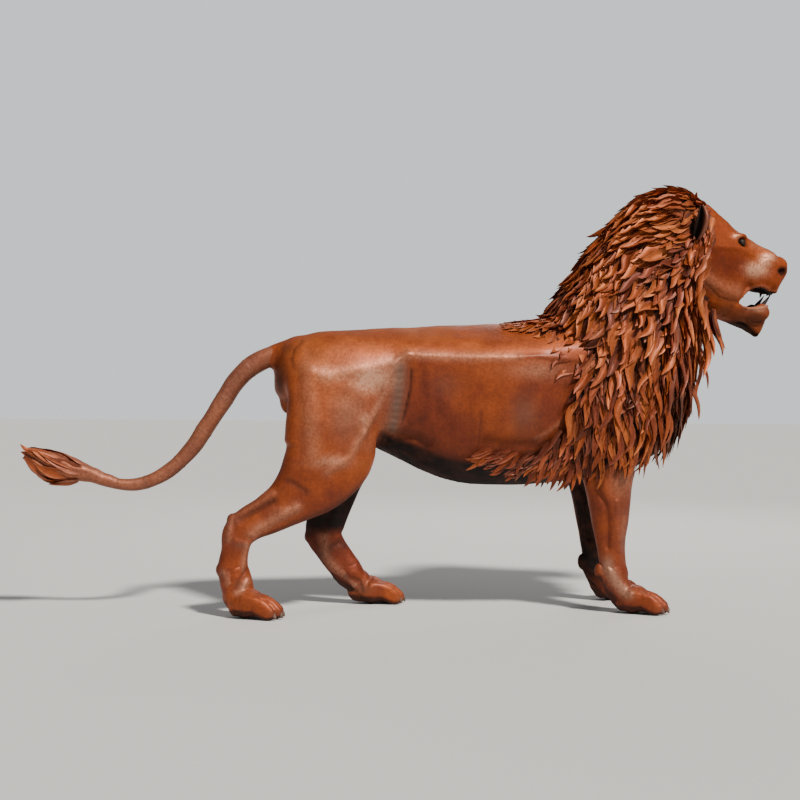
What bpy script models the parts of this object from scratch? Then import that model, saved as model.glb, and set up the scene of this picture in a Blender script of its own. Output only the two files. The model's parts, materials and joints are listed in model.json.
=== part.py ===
"""A life-size walking lion, welded from steel sheet: the solid model of its pieces.

Units are metres. +X runs towards the nose, +Y towards the lion's left side and +Z up. The origin
lies on the ground, under the middle of the box that holds the whole lion.

Every rounded form is a row of rounded cross-sections with a skin over them. There are two sorts:
a "sweep" carries its sections square to a curved path (legs, tail), and a "stack" holds them in
parallel planes (trunk, head, neck, mane). The rows of their tables are
    sweep          (x, z, reach, width)      centre, half-size in the path's plane, half-width
    upright stack  (x, top z, bottom z, width)
    level stack    (z, front x, back x, width)
and width is always the half-size across the lion.
"""

import math

import bmesh
import bpy
import numpy as np

# Driving dimensions
HIND_TRACK = 0.175  # sideways from the middle to a hind foot
FORE_TRACK = 0.165  # the same, to a fore foot
SOLE_DEPTH = 0.02  # how far a foot is modelled below the ground before it is cut flat
GAP = 0.0003  # clearance between pieces that touch

# Colours
RUST = (0.42, 0.12, 0.035)
DARK_RUST = (0.30, 0.085, 0.03)
BARE_STEEL = (0.10, 0.06, 0.045)

# Surface fineness
VOXEL = 0.011  # grid on which the body's sweeps are fused
BODY_TRIANGLES = 4300
MANE_TRIANGLES = 2430
TUFT_TRIANGLES = 320

# Trunk, upright stack from the rump to the breast
TRUNK = [
    (-0.612, 1.010, 0.895, 0.048),
    (-0.585, 1.080, 0.860, 0.108),
    (-0.470, 1.139, 0.795, 0.178),
    (-0.320, 1.156, 0.730, 0.206),
    (-0.150, 1.168, 0.655, 0.208),
    (0.000, 1.177, 0.587, 0.218),
    (0.150, 1.185, 0.530, 0.238),
    (0.300, 1.193, 0.514, 0.250),
    (0.450, 1.205, 0.516, 0.250),
    (0.600, 1.230, 0.530, 0.240),
    (0.760, 1.240, 0.550, 0.216),
    (0.920, 1.180, 0.600, 0.180),
    (1.020, 1.080, 0.680, 0.125),
]

# Neck under the mane, level stack from the breast up to the poll
NECK = [
    (0.640, 0.960, 0.780, 0.110),
    (0.720, 1.050, 0.720, 0.170),
    (0.840, 1.105, 0.660, 0.215),
    (0.980, 1.130, 0.620, 0.235),
    (1.120, 1.140, 0.600, 0.235),
    (1.240, 1.150, 0.640, 0.215),
    (1.360, 1.160, 0.720, 0.190),
    (1.480, 1.180, 0.800, 0.165),
    (1.580, 1.190, 0.880, 0.145),
    (1.660, 1.180, 0.960, 0.115),
    (1.700, 1.150, 1.030, 0.070),
]

# Skull and upper jaw, upright stack from the nape to the nose
SKULL = [
    (1.000, 1.640, 1.340, 0.100),
    (1.100, 1.722, 1.290, 0.136),
    (1.180, 1.745, 1.265, 0.148),
    (1.231, 1.738, 1.252, 0.146),
    (1.263, 1.715, 1.248, 0.142),
    (1.300, 1.681, 1.250, 0.134),
    (1.340, 1.647, 1.262, 0.124),
    (1.370, 1.628, 1.300, 0.112),
    (1.390, 1.614, 1.334, 0.104),
    (1.420, 1.593, 1.358, 0.095),
    (1.455, 1.572, 1.362, 0.089),
    (1.500, 1.551, 1.342, 0.086),
    (1.535, 1.530, 1.340, 0.078),
    (1.560, 1.511, 1.378, 0.064),
    (1.580, 1.495, 1.412, 0.048),
    (1.602, 1.474, 1.444, 0.020),
]

# Lower jaw, upright stack from the throat to the chin
JAW = [
    (1.120, 1.400, 1.250, 0.100),
    (1.220, 1.375, 1.235, 0.114),
    (1.292, 1.340, 1.224, 0.104),
    (1.337, 1.310, 1.210, 0.096),
    (1.383, 1.283, 1.189, 0.086),
    (1.419, 1.268, 1.168, 0.078),
    (1.447, 1.264, 1.156, 0.073),
    (1.469, 1.270, 1.168, 0.066),
    (1.490, 1.278, 1.192, 0.056),
    (1.505, 1.280, 1.224, 0.044),
    (1.515, 1.279, 1.258, 0.020),
]

# Right hind leg, drawn back: hip, stifle, hock, heel
HIND_BACK = [
    (-0.360, 1.060, 0.110, 0.040),
    (-0.375, 0.960, 0.192, 0.082),
    (-0.378, 0.850, 0.192, 0.100),
    (-0.390, 0.740, 0.185, 0.104),
    (-0.405, 0.640, 0.182, 0.098),
    (-0.470, 0.540, 0.148, 0.084),
    (-0.560, 0.458, 0.100, 0.066),
    (-0.640, 0.408, 0.080, 0.052),
    (-0.710, 0.372, 0.070, 0.045),
    (-0.757, 0.330, 0.066, 0.044),
    (-0.768, 0.270, 0.055, 0.042),
    (-0.776, 0.200, 0.060, 0.042),
    (-0.764, 0.135, 0.062, 0.046),
    (-0.750, 0.080, 0.060, 0.052),
]

# Left hind leg, set forward under the belly
HIND_FORWARD = [
    (-0.360, 1.060, 0.110, 0.040),
    (-0.370, 0.960, 0.190, 0.082),
    (-0.350, 0.850, 0.188, 0.100),
    (-0.322, 0.740, 0.165, 0.102),
    (-0.308, 0.630, 0.134, 0.094),
    (-0.328, 0.530, 0.118, 0.080),
    (-0.352, 0.440, 0.102, 0.064),
    (-0.380, 0.360, 0.086, 0.052),
    (-0.388, 0.295, 0.076, 0.046),
    (-0.360, 0.240, 0.068, 0.044),
    (-0.322, 0.185, 0.066, 0.043),
    (-0.280, 0.130, 0.066, 0.046),
    (-0.235, 0.080, 0.066, 0.052),
]

# Right fore leg: shoulder, elbow, wrist
FORE_RIGHT = [
    (0.780, 0.980, 0.120, 0.050),
    (0.770, 0.860, 0.165, 0.080),
    (0.760, 0.720, 0.145, 0.088),
    (0.756, 0.600, 0.114, 0.080),
    (0.763, 0.500, 0.096, 0.070),
    (0.769, 0.390, 0.078, 0.059),
    (0.776, 0.280, 0.061, 0.049),
    (0.782, 0.210, 0.056, 0.047),
    (0.789, 0.150, 0.060, 0.049),
    (0.801, 0.090, 0.062, 0.054),
]
FORE_LEFT_AHEAD = 0.022  # the left fore leg is set this much further forward

# Paw from the heel forwards; x is counted from the heel and the leg table places the heel
PAW = [
    (0.000, 0.030, 0.028, 0.034),
    (0.035, 0.048, 0.054, 0.054),
    (0.090, 0.056, 0.062, 0.066),
    (0.135, 0.044, 0.048, 0.066),
    (0.168, 0.028, 0.030, 0.052),
]
TOE = [
    (0.098, 0.066, 0.026, 0.013),
    (0.140, 0.062, 0.031, 0.017),
    (0.178, 0.047, 0.036, 0.019),
    (0.206, 0.030, 0.033, 0.019),
    (0.225, 0.016, 0.025, 0.016),
    (0.234, 0.010, 0.012, 0.008),
]
TOE_SPREAD = 0.0365  # between neighbouring toes, at their tips
OUTER_TOE_BACK = 0.022  # the two outer toes end this much further back

HIND_BACK_HEEL = -0.815
HIND_FORWARD_HEEL = -0.272
FORE_HEEL = 0.772

# Tail, from the rump to the tuft
TAIL = [
    (-0.500, 1.072, 0.044, 0.042),
    (-0.580, 1.058, 0.043, 0.041),
    (-0.650, 1.034, 0.042, 0.040),
    (-0.722, 0.990, 0.041, 0.040),
    (-0.770, 0.938, 0.039, 0.038),
    (-0.822, 0.856, 0.037, 0.036),
    (-0.878, 0.766, 0.035, 0.034),
    (-0.942, 0.668, 0.033, 0.033),
    (-1.014, 0.592, 0.030, 0.030),
    (-1.096, 0.538, 0.027, 0.027),
    (-1.190, 0.515, 0.024, 0.024),
    (-1.270, 0.526, 0.023, 0.023),
    (-1.330, 0.550, 0.025, 0.025),
    (-1.365, 0.560, 0.022, 0.022),
]
TUFT = [
    (-1.330, 0.550, 0.030, 0.030),
    (-1.380, 0.568, 0.044, 0.040),
    (-1.440, 0.584, 0.054, 0.050),
    (-1.500, 0.596, 0.056, 0.052),
    (-1.550, 0.608, 0.042, 0.040),
    (-1.590, 0.625, 0.018, 0.018),
]

# Mass of the mane under the tips of its locks, level stack from the breast up to the crown
MANE = [
    (0.600, 0.900, 0.700, 0.160),
    (0.650, 1.000, 0.610, 0.222),
    (0.750, 1.090, 0.560, 0.256),
    (0.850, 1.130, 0.560, 0.270),
    (0.950, 1.155, 0.545, 0.276),
    (1.050, 1.180, 0.500, 0.275),
    (1.150, 1.195, 0.470, 0.270),
    (1.250, 1.195, 0.550, 0.258),
    (1.350, 1.190, 0.635, 0.240),
    (1.450, 1.188, 0.700, 0.220),
    (1.550, 1.195, 0.775, 0.198),
    (1.650, 1.205, 0.850, 0.172),
    (1.715, 1.205, 0.900, 0.145),
    (1.755, 1.190, 0.960, 0.108),
    (1.782, 1.130, 1.040, 0.045),
]
# The mane's fall over the shoulder, sweep from the withers down to the top of the fore leg
SHOULDER = [
    (0.800, 1.060, 0.180, 0.070),
    (0.785, 0.920, 0.225, 0.090),
    (0.770, 0.800, 0.220, 0.098),
    (0.762, 0.700, 0.185, 0.096),
    (0.775, 0.615, 0.120, 0.088),
]
SHOULDER_SIDE = 0.185
# Belly fringe, upright stack along the flank behind the mane
FRINGE = [
    (0.160, 0.655, 0.625, 0.010),
    (0.260, 0.668, 0.590, 0.020),
    (0.400, 0.690, 0.560, 0.028),
    (0.500, 0.735, 0.545, 0.032),
    (0.600, 0.830, 0.540, 0.038),
    (0.700, 0.850, 0.570, 0.034),
]
FRINGE_SIDE = 0.216  # from the middle of the lion to the fringe

# Locks of the mane
LOCK_LENGTH = 0.215
LOCK_WIDTH = 0.042
LOCK_THICKNESS = 0.019
LOCK_LIFT = 0.052  # how far a lock's tip stands off the mane
LOCK_ROWS = 11
LOCK_SPACING = 0.125

# Ears, sweep from the root up; the table gives the right ear and its mirror image the left
EAR = [
    (1.116, 1.538, 0.022, 0.020),
    (1.124, 1.580, 0.036, 0.030),
    (1.136, 1.630, 0.040, 0.030),
    (1.147, 1.680, 0.034, 0.022),
    (1.154, 1.715, 0.014, 0.010),
]
EAR_SIDE = 0.160

# Eyes and canine teeth
EYE = (1.358, 0.082, 1.557)
EYE_RADIUS = 0.024
UPPER_CANINE = [
    (1.508, 1.400, 0.013, 0.011),
    (1.510, 1.362, 0.012, 0.010),
    (1.510, 1.344, 0.008, 0.007),
    (1.508, 1.324, 0.002, 0.002),
]
LOWER_CANINE = [
    (1.486, 1.250, 0.012, 0.011),
    (1.492, 1.282, 0.011, 0.010),
    (1.504, 1.308, 0.007, 0.006),
    (1.514, 1.332, 0.002, 0.002),
]
UPPER_CANINE_SIDE = 0.045  # from the middle of the lion to each upper canine
LOWER_CANINE_SIDE = 0.026  # the lower ones close inside them


def smooth_rows(rows, count):
    """The table's rows as a smooth curve of count points: cubic spans whose slopes follow the neighbours."""
    rows = np.asarray(rows, float)
    steps = np.linalg.norm(np.diff(rows[:, :2], axis=0), axis=1)
    chord = np.concatenate([[0.0], np.cumsum(steps)])
    slope = np.gradient(rows, chord, axis=0)
    at = np.linspace(0.0, chord[-1], count)
    span = np.clip(np.searchsorted(chord, at, side="right") - 1, 0, len(rows) - 2)
    length = (chord[span + 1] - chord[span])[:, None]
    t = (at - chord[span])[:, None] / length
    start = rows[span] * (1 + 2 * t) * (1 - t) ** 2 + slope[span] * length * t * (1 - t) ** 2
    end = rows[span + 1] * t**2 * (3 - 2 * t) + slope[span + 1] * length * t**2 * (t - 1)
    return start + end


def sections(rows, y, along, around, power, kind):
    """A grid of points, along x around. Each section is a rounded box, |u|^power + |v|^power = 1.
    In a sweep it turns with the path, in a stack it stays upright or level."""
    if kind == "upright":
        rows = [(x, (top + low) / 2, (top - low) / 2, width) for x, top, low, width in rows]
    elif kind == "level":
        rows = [((front + back) / 2, z, (front - back) / 2, width) for z, front, back, width in rows]
    curve = smooth_rows(rows, along)
    path = curve[:, :2]
    if kind == "sweep":
        heading = np.gradient(path, axis=0)
        heading /= np.linalg.norm(heading, axis=1)[:, None]
    else:
        heading = np.tile([1.0, 0.0] if kind == "upright" else [0.0, 1.0], (along, 1))
    angle = np.linspace(0.0, 2 * math.pi, around, endpoint=False)
    c, s = np.cos(angle), np.sin(angle)
    out = np.sign(c) * np.abs(c) ** (2 / power)
    side = np.sign(s) * np.abs(s) ** (2 / power)
    reach, width = curve[:, 2:3], curve[:, 3:4]
    x = path[:, :1] - heading[:, 1:] * reach * out
    z = path[:, 1:] + heading[:, :1] * reach * out
    return np.stack([x, y + width * side, z], axis=-1)


def closed_mesh(name, grid):
    """A tube over the grid, closed by a face at each end, with its faces turned outwards."""
    along, around = grid.shape[:2]
    ring, step = np.meshgrid(np.arange(along - 1), np.arange(around), indexing="ij")
    nxt = (step + 1) % around
    corners = [ring * around + step, ring * around + nxt, (ring + 1) * around + nxt, (ring + 1) * around + step]
    faces = np.stack(corners, axis=-1).reshape(-1, 4).tolist()
    faces.append(list(range(around))[::-1])
    faces.append(list(range((along - 1) * around, along * around)))
    mesh = bpy.data.meshes.new(name)
    mesh.from_pydata(grid.reshape(-1, 3).tolist(), [], faces)
    turn_outwards(mesh)
    return mesh


def turn_outwards(mesh):
    shape = bmesh.new()
    shape.from_mesh(mesh)
    bmesh.ops.recalc_face_normals(shape, faces=shape.faces[:])
    shape.to_mesh(mesh)
    shape.free()


def placed(name, mesh):
    obj = bpy.data.objects.new(name, mesh)
    bpy.context.scene.collection.objects.link(obj)
    return obj


def form(name, rows, y=0.0, along=24, around=24, power=2.2, kind="sweep"):
    return placed(name, closed_mesh(name, sections(rows, y, along, around, power, kind)))


def shifted(rows, dx):
    """The same table moved along the lion."""
    return [(x + dx, *rest) for x, *rest in rows]


def joined(name, objects):
    """One object that holds all the given meshes, still overlapping."""
    shape = bmesh.new()
    for obj in objects:
        shape.from_mesh(obj.data)
        bpy.data.objects.remove(obj)
    mesh = bpy.data.meshes.new(name)
    shape.to_mesh(mesh)
    shape.free()
    return placed(name, mesh)


def settle(obj):
    """Bakes the object's modifiers into its mesh."""
    graph = bpy.context.evaluated_depsgraph_get()
    mesh = bpy.data.meshes.new_from_object(obj.evaluated_get(graph))
    obj.modifiers.clear()
    obj.data = mesh
    return obj


def fuse(obj, voxel, rounds, triangles):
    """Fuses overlapping forms into one skin, relaxes the joints and thins it to a number of triangles."""
    remesh = obj.modifiers.new("fuse", "REMESH")
    remesh.mode = "VOXEL"
    remesh.voxel_size = voxel
    relax = obj.modifiers.new("relax", "SMOOTH")
    relax.factor = 0.5
    relax.iterations = rounds
    settle(obj)
    whole = sum(len(p.vertices) - 2 for p in obj.data.polygons)
    thin = obj.modifiers.new("thin", "DECIMATE")
    thin.ratio = triangles / whole
    return settle(obj)


def cut(obj, cutter, operation="DIFFERENCE"):
    boolean = obj.modifiers.new("cut", "BOOLEAN")
    boolean.operation = operation
    boolean.solver = "EXACT"
    boolean.object = cutter
    return settle(obj)


def grown(obj, by):
    """A copy of the object whose surface stands proud by the given distance."""
    mesh = obj.data.copy()
    count = len(mesh.vertices)
    place, normal = np.empty(count * 3), np.empty(count * 3)
    mesh.vertices.foreach_get("co", place)
    mesh.vertices.foreach_get("normal", normal)
    mesh.vertices.foreach_set("co", place + normal * by)
    mesh.update()
    return placed(obj.name + "_grown", mesh)


def cut_clear(obj, neighbour):
    """Cuts the neighbour out of the object, and leaves the touching gap between them. The second cut
    takes what the grown copy leaves in a deep crease, where its own faces cross."""
    cutter = grown(neighbour, 2 * GAP)
    cut(obj, cutter)
    bpy.data.objects.remove(cutter)
    cut(obj, neighbour)


def slab(name, low, high):
    """A box between two corners."""
    mesh = bpy.data.meshes.new(name)
    shape = bmesh.new()
    bmesh.ops.create_cube(shape, size=1.0)
    for corner in shape.verts:
        corner.co = [l + (h - l) * (c + 0.5) for l, h, c in zip(low, high, corner.co)]
    shape.to_mesh(mesh)
    shape.free()
    return placed(name, mesh)


def paw(heel, y):
    """The pad of a foot and its four toes, from the heel forwards, running below the ground."""
    parts = [form("paw", shifted(PAW, heel), y, along=14, around=20)]
    for place in (-1.5, -0.5, 0.5, 1.5):
        back = OUTER_TOE_BACK if abs(place) > 1 else 0.0
        toe = shifted(TOE, heel - back)
        parts.append(form("toe", toe, y + place * TOE_SPREAD, along=12, around=12))
    for part in parts:
        for vertex in part.data.vertices:
            if vertex.co.z < SOLE_DEPTH:
                vertex.co.z = -SOLE_DEPTH
    return parts


def make_body():
    """Trunk, neck, head and legs as one skin, cut flat under the feet."""
    forms = [
        form("trunk", TRUNK, along=48, around=36, power=2.35, kind="upright"),
        form("neck", NECK, along=36, around=32, kind="level"),
        form("skull", SKULL, along=48, around=32, power=2.3, kind="upright"),
        form("jaw", JAW, along=28, around=24, power=2.3, kind="upright"),
        form("hind_right", HIND_BACK, -HIND_TRACK * 0.86, along=60, around=28),
        form("hind_left", HIND_FORWARD, HIND_TRACK * 0.86, along=60, around=28),
        form("fore_right", FORE_RIGHT, -FORE_TRACK, along=44, around=24),
        form("fore_left", shifted(FORE_RIGHT, FORE_LEFT_AHEAD), FORE_TRACK, along=44, around=24),
    ]
    forms += paw(HIND_BACK_HEEL, -HIND_TRACK * 0.9)
    forms += paw(HIND_FORWARD_HEEL, HIND_TRACK * 0.9)
    forms += paw(FORE_HEEL, -FORE_TRACK)
    forms += paw(FORE_HEEL + FORE_LEFT_AHEAD, FORE_TRACK)
    body = fuse(joined("body", forms), VOXEL, 6, BODY_TRIANGLES)
    ground = slab("ground", (-2, -1, -1), (2, 1, 0))
    cut(body, ground)
    bpy.data.objects.remove(ground)
    return body


def lock(root, flow, outward, length, width, thickness, lift):
    """One pointed lock: a flat wedge that leaves the mane along flow and bends off it towards its tip."""
    t = np.array([0.0, 0.2, 0.45, 0.7, 0.88, 1.0])[:, None]
    across = np.cross(flow, outward)
    spine = root + flow * length * (t - 0.2) + outward * lift * (0.12 + 0.88 * t)
    taper = np.array([0.60, 1.0, 0.95, 0.74, 0.42, 0.10])[:, None]
    angle = np.linspace(0.0, 2 * math.pi, 6, endpoint=False)
    wide = across[None, None, :] * (np.cos(angle) * width * taper)[..., None]
    deep = outward[None, None, :] * (np.sin(angle) * thickness * (0.4 + 0.6 * taper))[..., None]
    return placed("lock", closed_mesh("lock", spine[:, None, :] + wide + deep))


def fall(place, outward):
    """Which way the hair falls: back over the crown and neck, straight down on the breast."""
    back = np.clip((place[2] - 0.75) / 0.7, 0.0, 1.0) * np.clip((1.30 - place[0]) / 0.5, 0.15, 1.0)
    pull = np.array([-1.3 * back, 0.0, -1.0])
    pull -= outward * pull.dot(outward)
    return pull / np.linalg.norm(pull)


def mane_locks():
    """Rows of locks round the mane, left open in front where the face comes through."""
    grid = sections(MANE, 0.0, 96, 96, 2.2, "level")
    rise = np.gradient(grid, axis=0)
    turn = np.roll(grid, -1, axis=1) - np.roll(grid, 1, axis=1)
    normal = np.cross(rise, turn)
    normal /= np.linalg.norm(normal, axis=2)[..., None] + 1e-9
    locks = []
    for row in range(LOCK_ROWS):
        level = int(6 + 84 * row / (LOCK_ROWS - 1))
        ring = grid[level]
        girth = np.linalg.norm(np.roll(ring, -1, axis=0) - ring, axis=1).sum()
        count = max(6, round(girth / LOCK_SPACING))
        for k in range(count):
            column = int(96 * ((k + 0.5 * (row % 2)) / count)) % 96
            place, outward = ring[column], normal[level, column]
            if place[0] > 1.10 and place[2] > 1.18:
                continue
            size = 1.0 + 0.18 * math.sin(7.0 * row + 3.1 * k)
            flow = fall(place, outward)
            locks.append(lock(place, flow, outward, LOCK_LENGTH * size, LOCK_WIDTH, LOCK_THICKNESS, LOCK_LIFT))
    return locks


def make_mane(neighbours):
    """The mane with the fringe under the belly, fitted round the neck, the shoulders and the ears."""
    parts = [form("mass", MANE, along=40, around=40, kind="level")]
    parts += mane_locks()
    for side in (-1, 1):
        outward = np.array([0.0, side, 0.0])
        parts.append(form("shoulder", SHOULDER, side * SHOULDER_SIDE, along=24, around=24))
        parts.append(form("fringe", FRINGE, side * FRINGE_SIDE, along=16, around=12, kind="upright"))
        for k in range(12):
            row, place = divmod(k, 6)
            root = np.array([0.27 + 0.075 * place + 0.03 * row, side * (FRINGE_SIDE + 0.012), 0.60 + 0.07 * row])
            flow = np.array([-0.62 - 0.2 * row, 0.0, -0.785 + 0.2 * row])
            parts.append(lock(root, flow / np.linalg.norm(flow), outward, 0.165, 0.030, 0.014, 0.020))
    mane = fuse(joined("mane", parts), VOXEL, 1, MANE_TRIANGLES)
    for neighbour in neighbours:
        cut_clear(mane, neighbour)
    return keep_largest(mane)


def keep_largest(obj):
    """Drops the crumbs that a cut leaves beside the piece itself."""
    shape = bmesh.new()
    shape.from_mesh(obj.data)
    seen, islands = set(), []
    for start in shape.verts:
        if start in seen:
            continue
        island, edge = {start}, [start]
        while edge:
            for link in edge.pop().link_edges:
                for end in link.verts:
                    if end not in island:
                        island.add(end)
                        edge.append(end)
        seen |= island
        islands.append(island)
    islands.sort(key=len)
    crumbs = [vertex for island in islands[:-1] for vertex in island]
    bmesh.ops.delete(shape, geom=crumbs, context="VERTS")
    shape.to_mesh(obj.data)
    shape.free()
    return obj


def make_tuft(tail):
    """The tuft at the tail's end, a bundle of locks swept back and slightly up."""
    parts = [form("core", TUFT, along=20, around=14)]
    for ring, (x, z, size) in enumerate([(-1.385, 0.572, 0.160), (-1.452, 0.598, 0.176)]):
        for k in range(7):
            turn = 2 * math.pi * (k + 0.5 * ring) / 7
            outward = np.array([0.15, math.cos(turn), math.sin(turn)])
            flow = np.array([-0.94, 0.06 * math.cos(turn), 0.24 + 0.10 * math.sin(turn)])
            flow -= outward * outward.dot(flow) / outward.dot(outward)
            root = np.array([x, 0.0, z]) + 0.036 * outward
            parts.append(lock(root, flow / np.linalg.norm(flow), outward, size, 0.019, 0.010, 0.008))
    tuft = fuse(joined("tail_tuft", parts), 0.007, 1, TUFT_TRIANGLES)
    cut_clear(tuft, tail)
    return keep_largest(tuft)


def ball(name, centre, radius):
    mesh = bpy.data.meshes.new(name)
    shape = bmesh.new()
    bmesh.ops.create_uvsphere(shape, u_segments=10, v_segments=6, radius=radius)
    bmesh.ops.translate(shape, vec=centre, verts=shape.verts[:])
    shape.to_mesh(mesh)
    shape.free()
    turn_outwards(mesh)
    return placed(name, mesh)


def paint(obj, colour, rough):
    material = bpy.data.materials.new(obj.name)
    material.use_nodes = True
    shader = material.node_tree.nodes["Principled BSDF"]
    shader.inputs["Base Color"].default_value = (*colour, 1.0)
    shader.inputs["Metallic"].default_value = 0.3
    shader.inputs["Roughness"].default_value = rough
    obj.data.materials.clear()
    obj.data.materials.append(material)


def main():
    for obj in list(bpy.data.objects):
        bpy.data.objects.remove(obj)
    body = make_body()
    tail = form("tail", TAIL, along=26, around=10)
    cut_clear(tail, body)
    keep_largest(tail)
    tuft = make_tuft(tail)
    ears, small = [], []
    for name, side in (("right", -1), ("left", 1)):
        ear = form("ear_" + name, EAR, side * EAR_SIDE, along=8, around=8, power=2.0)
        cut_clear(ear, body)
        ears.append(keep_largest(ear))
        x, y, z = EYE
        eye = ball("eye_" + name, (x, side * y, z), EYE_RADIUS)
        upper = form("upper_canine_" + name, UPPER_CANINE, side * UPPER_CANINE_SIDE, along=4, around=6, power=2.0)
        lower = form("lower_canine_" + name, LOWER_CANINE, side * LOWER_CANINE_SIDE, along=4, around=6, power=2.0)
        for piece in (eye, upper, lower):
            cut_clear(piece, body)
            small.append(keep_largest(piece))
    mane = make_mane([body, *ears])
    for obj in (body, tail, *ears):
        paint(obj, RUST, 0.45)
    for obj in (mane, tuft):
        paint(obj, DARK_RUST, 0.5)
    for obj in small:
        paint(obj, BARE_STEEL, 0.35)


main()
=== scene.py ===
# %% [markdown]
# # A walking lion in rusted steel sheet
# The sculpture is life-size: a body of bent and welded sheet with ground seams, a head with an open
# mouth, and a mane of nearly two thousand cut and curled blades of the same sheet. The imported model
# gives the place and the size of every piece. This lesson puts the finished surfaces on it.

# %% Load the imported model
import json
import math
from functools import partial

import bmesh
import bpy
import numpy as np
from mathutils import Matrix, Vector

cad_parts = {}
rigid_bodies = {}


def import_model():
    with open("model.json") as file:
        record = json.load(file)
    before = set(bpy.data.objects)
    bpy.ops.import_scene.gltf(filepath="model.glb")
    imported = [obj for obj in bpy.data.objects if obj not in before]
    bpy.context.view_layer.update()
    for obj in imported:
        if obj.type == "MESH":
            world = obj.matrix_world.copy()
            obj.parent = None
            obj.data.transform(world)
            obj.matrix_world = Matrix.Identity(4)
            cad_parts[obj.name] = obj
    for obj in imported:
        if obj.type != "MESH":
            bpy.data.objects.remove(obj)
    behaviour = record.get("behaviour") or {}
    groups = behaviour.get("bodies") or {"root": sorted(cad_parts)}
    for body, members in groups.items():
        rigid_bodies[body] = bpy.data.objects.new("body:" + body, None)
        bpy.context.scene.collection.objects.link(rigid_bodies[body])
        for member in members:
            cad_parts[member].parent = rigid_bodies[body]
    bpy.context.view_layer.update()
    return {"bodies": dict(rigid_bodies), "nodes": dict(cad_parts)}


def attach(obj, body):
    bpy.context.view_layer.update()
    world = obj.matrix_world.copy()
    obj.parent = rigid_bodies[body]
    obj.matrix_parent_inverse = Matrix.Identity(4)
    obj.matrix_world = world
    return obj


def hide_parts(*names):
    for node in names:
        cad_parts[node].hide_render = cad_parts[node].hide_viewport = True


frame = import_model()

print("nodes:", sorted(frame["nodes"]))

# %% [markdown]
# ## Tables of the big forms
# The smith starts from bent ribs and lays sheet over them. The same is done here: a table row is one
# rib, and a smooth curve runs through the ribs. There are three kinds. A "sweep" carries its ribs
# square to a curved path (legs, tail), an "upright" stack holds them in planes across the lion, and a
# "level" stack holds them flat. Tables are written in millimetres, +X towards the nose and +Z up:
# sweep (x, z, reach, width), upright (x, top, bottom, width), level (z, front, back, width).

# %% Units of the tables
def metres(rows):
    """A table that is written in millimetres, in metres."""
    return [tuple(value / 1000 for value in row) for row in rows]


# %% [markdown]
# ## From a table to a surface
# A rib is a rounded box, |u|^power + |v|^power = 1. The points of all the ribs make a grid, one
# direction along the form and one around it, and the quads between neighbours are the skin. The grid
# is worked out for the whole form at once, so a finer one costs no more code.


# %% From ribs to a grid
def smooth_rows(rows, count):
    """Cubic spans through the rows, whose slopes follow the neighbours: count points, evenly spaced."""
    rows = np.asarray(rows, float)
    steps = np.linalg.norm(np.diff(rows[:, :2], axis=0), axis=1)
    chord = np.concatenate([[0.0], np.cumsum(steps)])
    slope = np.gradient(rows, chord, axis=0)
    at = np.linspace(0.0, chord[-1], count)
    span = np.clip(np.searchsorted(chord, at, side="right") - 1, 0, len(rows) - 2)
    length = (chord[span + 1] - chord[span])[:, None]
    t = (at - chord[span])[:, None] / length
    start = rows[span] * (1 + 2 * t) * (1 - t) ** 2 + slope[span] * length * t * (1 - t) ** 2
    end = rows[span + 1] * t**2 * (3 - 2 * t) + slope[span + 1] * length * t**2 * (t - 1)
    return start + end


def loft(rows, y=0.0, along=60, around=48, power=2.2, kind="sweep", section=None):
    """A grid (along, around, 3). Point = path + reach * out(angle) across the path + width * side(angle)
    sideways, where out and side are cos and sin of the angle to the power 2 / power, with their signs.
    A section table of (out, side) from the top down to the bottom takes the place of that rule."""
    if kind == "upright":
        rows = [(x, (top + low) / 2, (top - low) / 2, width) for x, top, low, width in rows]
    elif kind == "level":
        rows = [((front + back) / 2, z, (front - back) / 2, width) for z, front, back, width in rows]
    curve = smooth_rows(rows, along)
    path = curve[:, :2]
    if kind == "sweep":
        heading = np.gradient(path, axis=0)
        heading /= np.linalg.norm(heading, axis=1)[:, None]
    else:
        heading = np.tile([1.0, 0.0] if kind == "upright" else [0.0, 1.0], (along, 1))
    angle = np.linspace(0.0, 2 * math.pi, around, endpoint=False)
    c, s = np.cos(angle), np.sin(angle)
    out = np.sign(c) * np.abs(c) ** (2 / power)
    side = np.sign(s) * np.abs(s) ** (2 / power)
    if section:
        half = smooth_rows(section, around // 2 + 1)
        out = np.concatenate([half[:, 0], half[-2:0:-1, 0]])
        side = np.concatenate([half[:, 1], -half[-2:0:-1, 1]])
    reach, width = curve[:, 2:3], curve[:, 3:4]
    x = path[:, :1] - heading[:, 1:] * reach * out
    z = path[:, 1:] + heading[:, :1] * reach * out
    return np.stack([x, y + width * side, z], axis=-1)


def shifted(rows, dx):
    """The same table moved along the lion."""
    return [(x + dx, *rest) for x, *rest in rows]


def knob(centre, radii, rings=16, around=24):
    """An egg-shaped lump as a grid: centre + radii * (cos a, sin a cos b, sin a sin b)."""
    a = np.linspace(0.02, math.pi - 0.02, rings)[:, None]
    b = np.linspace(0.0, 2 * math.pi, around, endpoint=False)[None, :]
    ball = np.stack([np.cos(a) + 0 * b, np.sin(a) * np.cos(b), np.sin(a) * np.sin(b)], axis=-1)
    return np.asarray(centre) + ball * np.asarray(radii)


# %% From a grid to a mesh
def quads(numbers):
    """The four-sided faces between neighbours of a grid of point numbers."""
    low, high = numbers[..., :-1, :], numbers[..., 1:, :]
    four = [low[..., :-1], low[..., 1:], high[..., 1:], high[..., :-1]]
    return np.stack(four, axis=-1).reshape(-1, 4).tolist()


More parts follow.
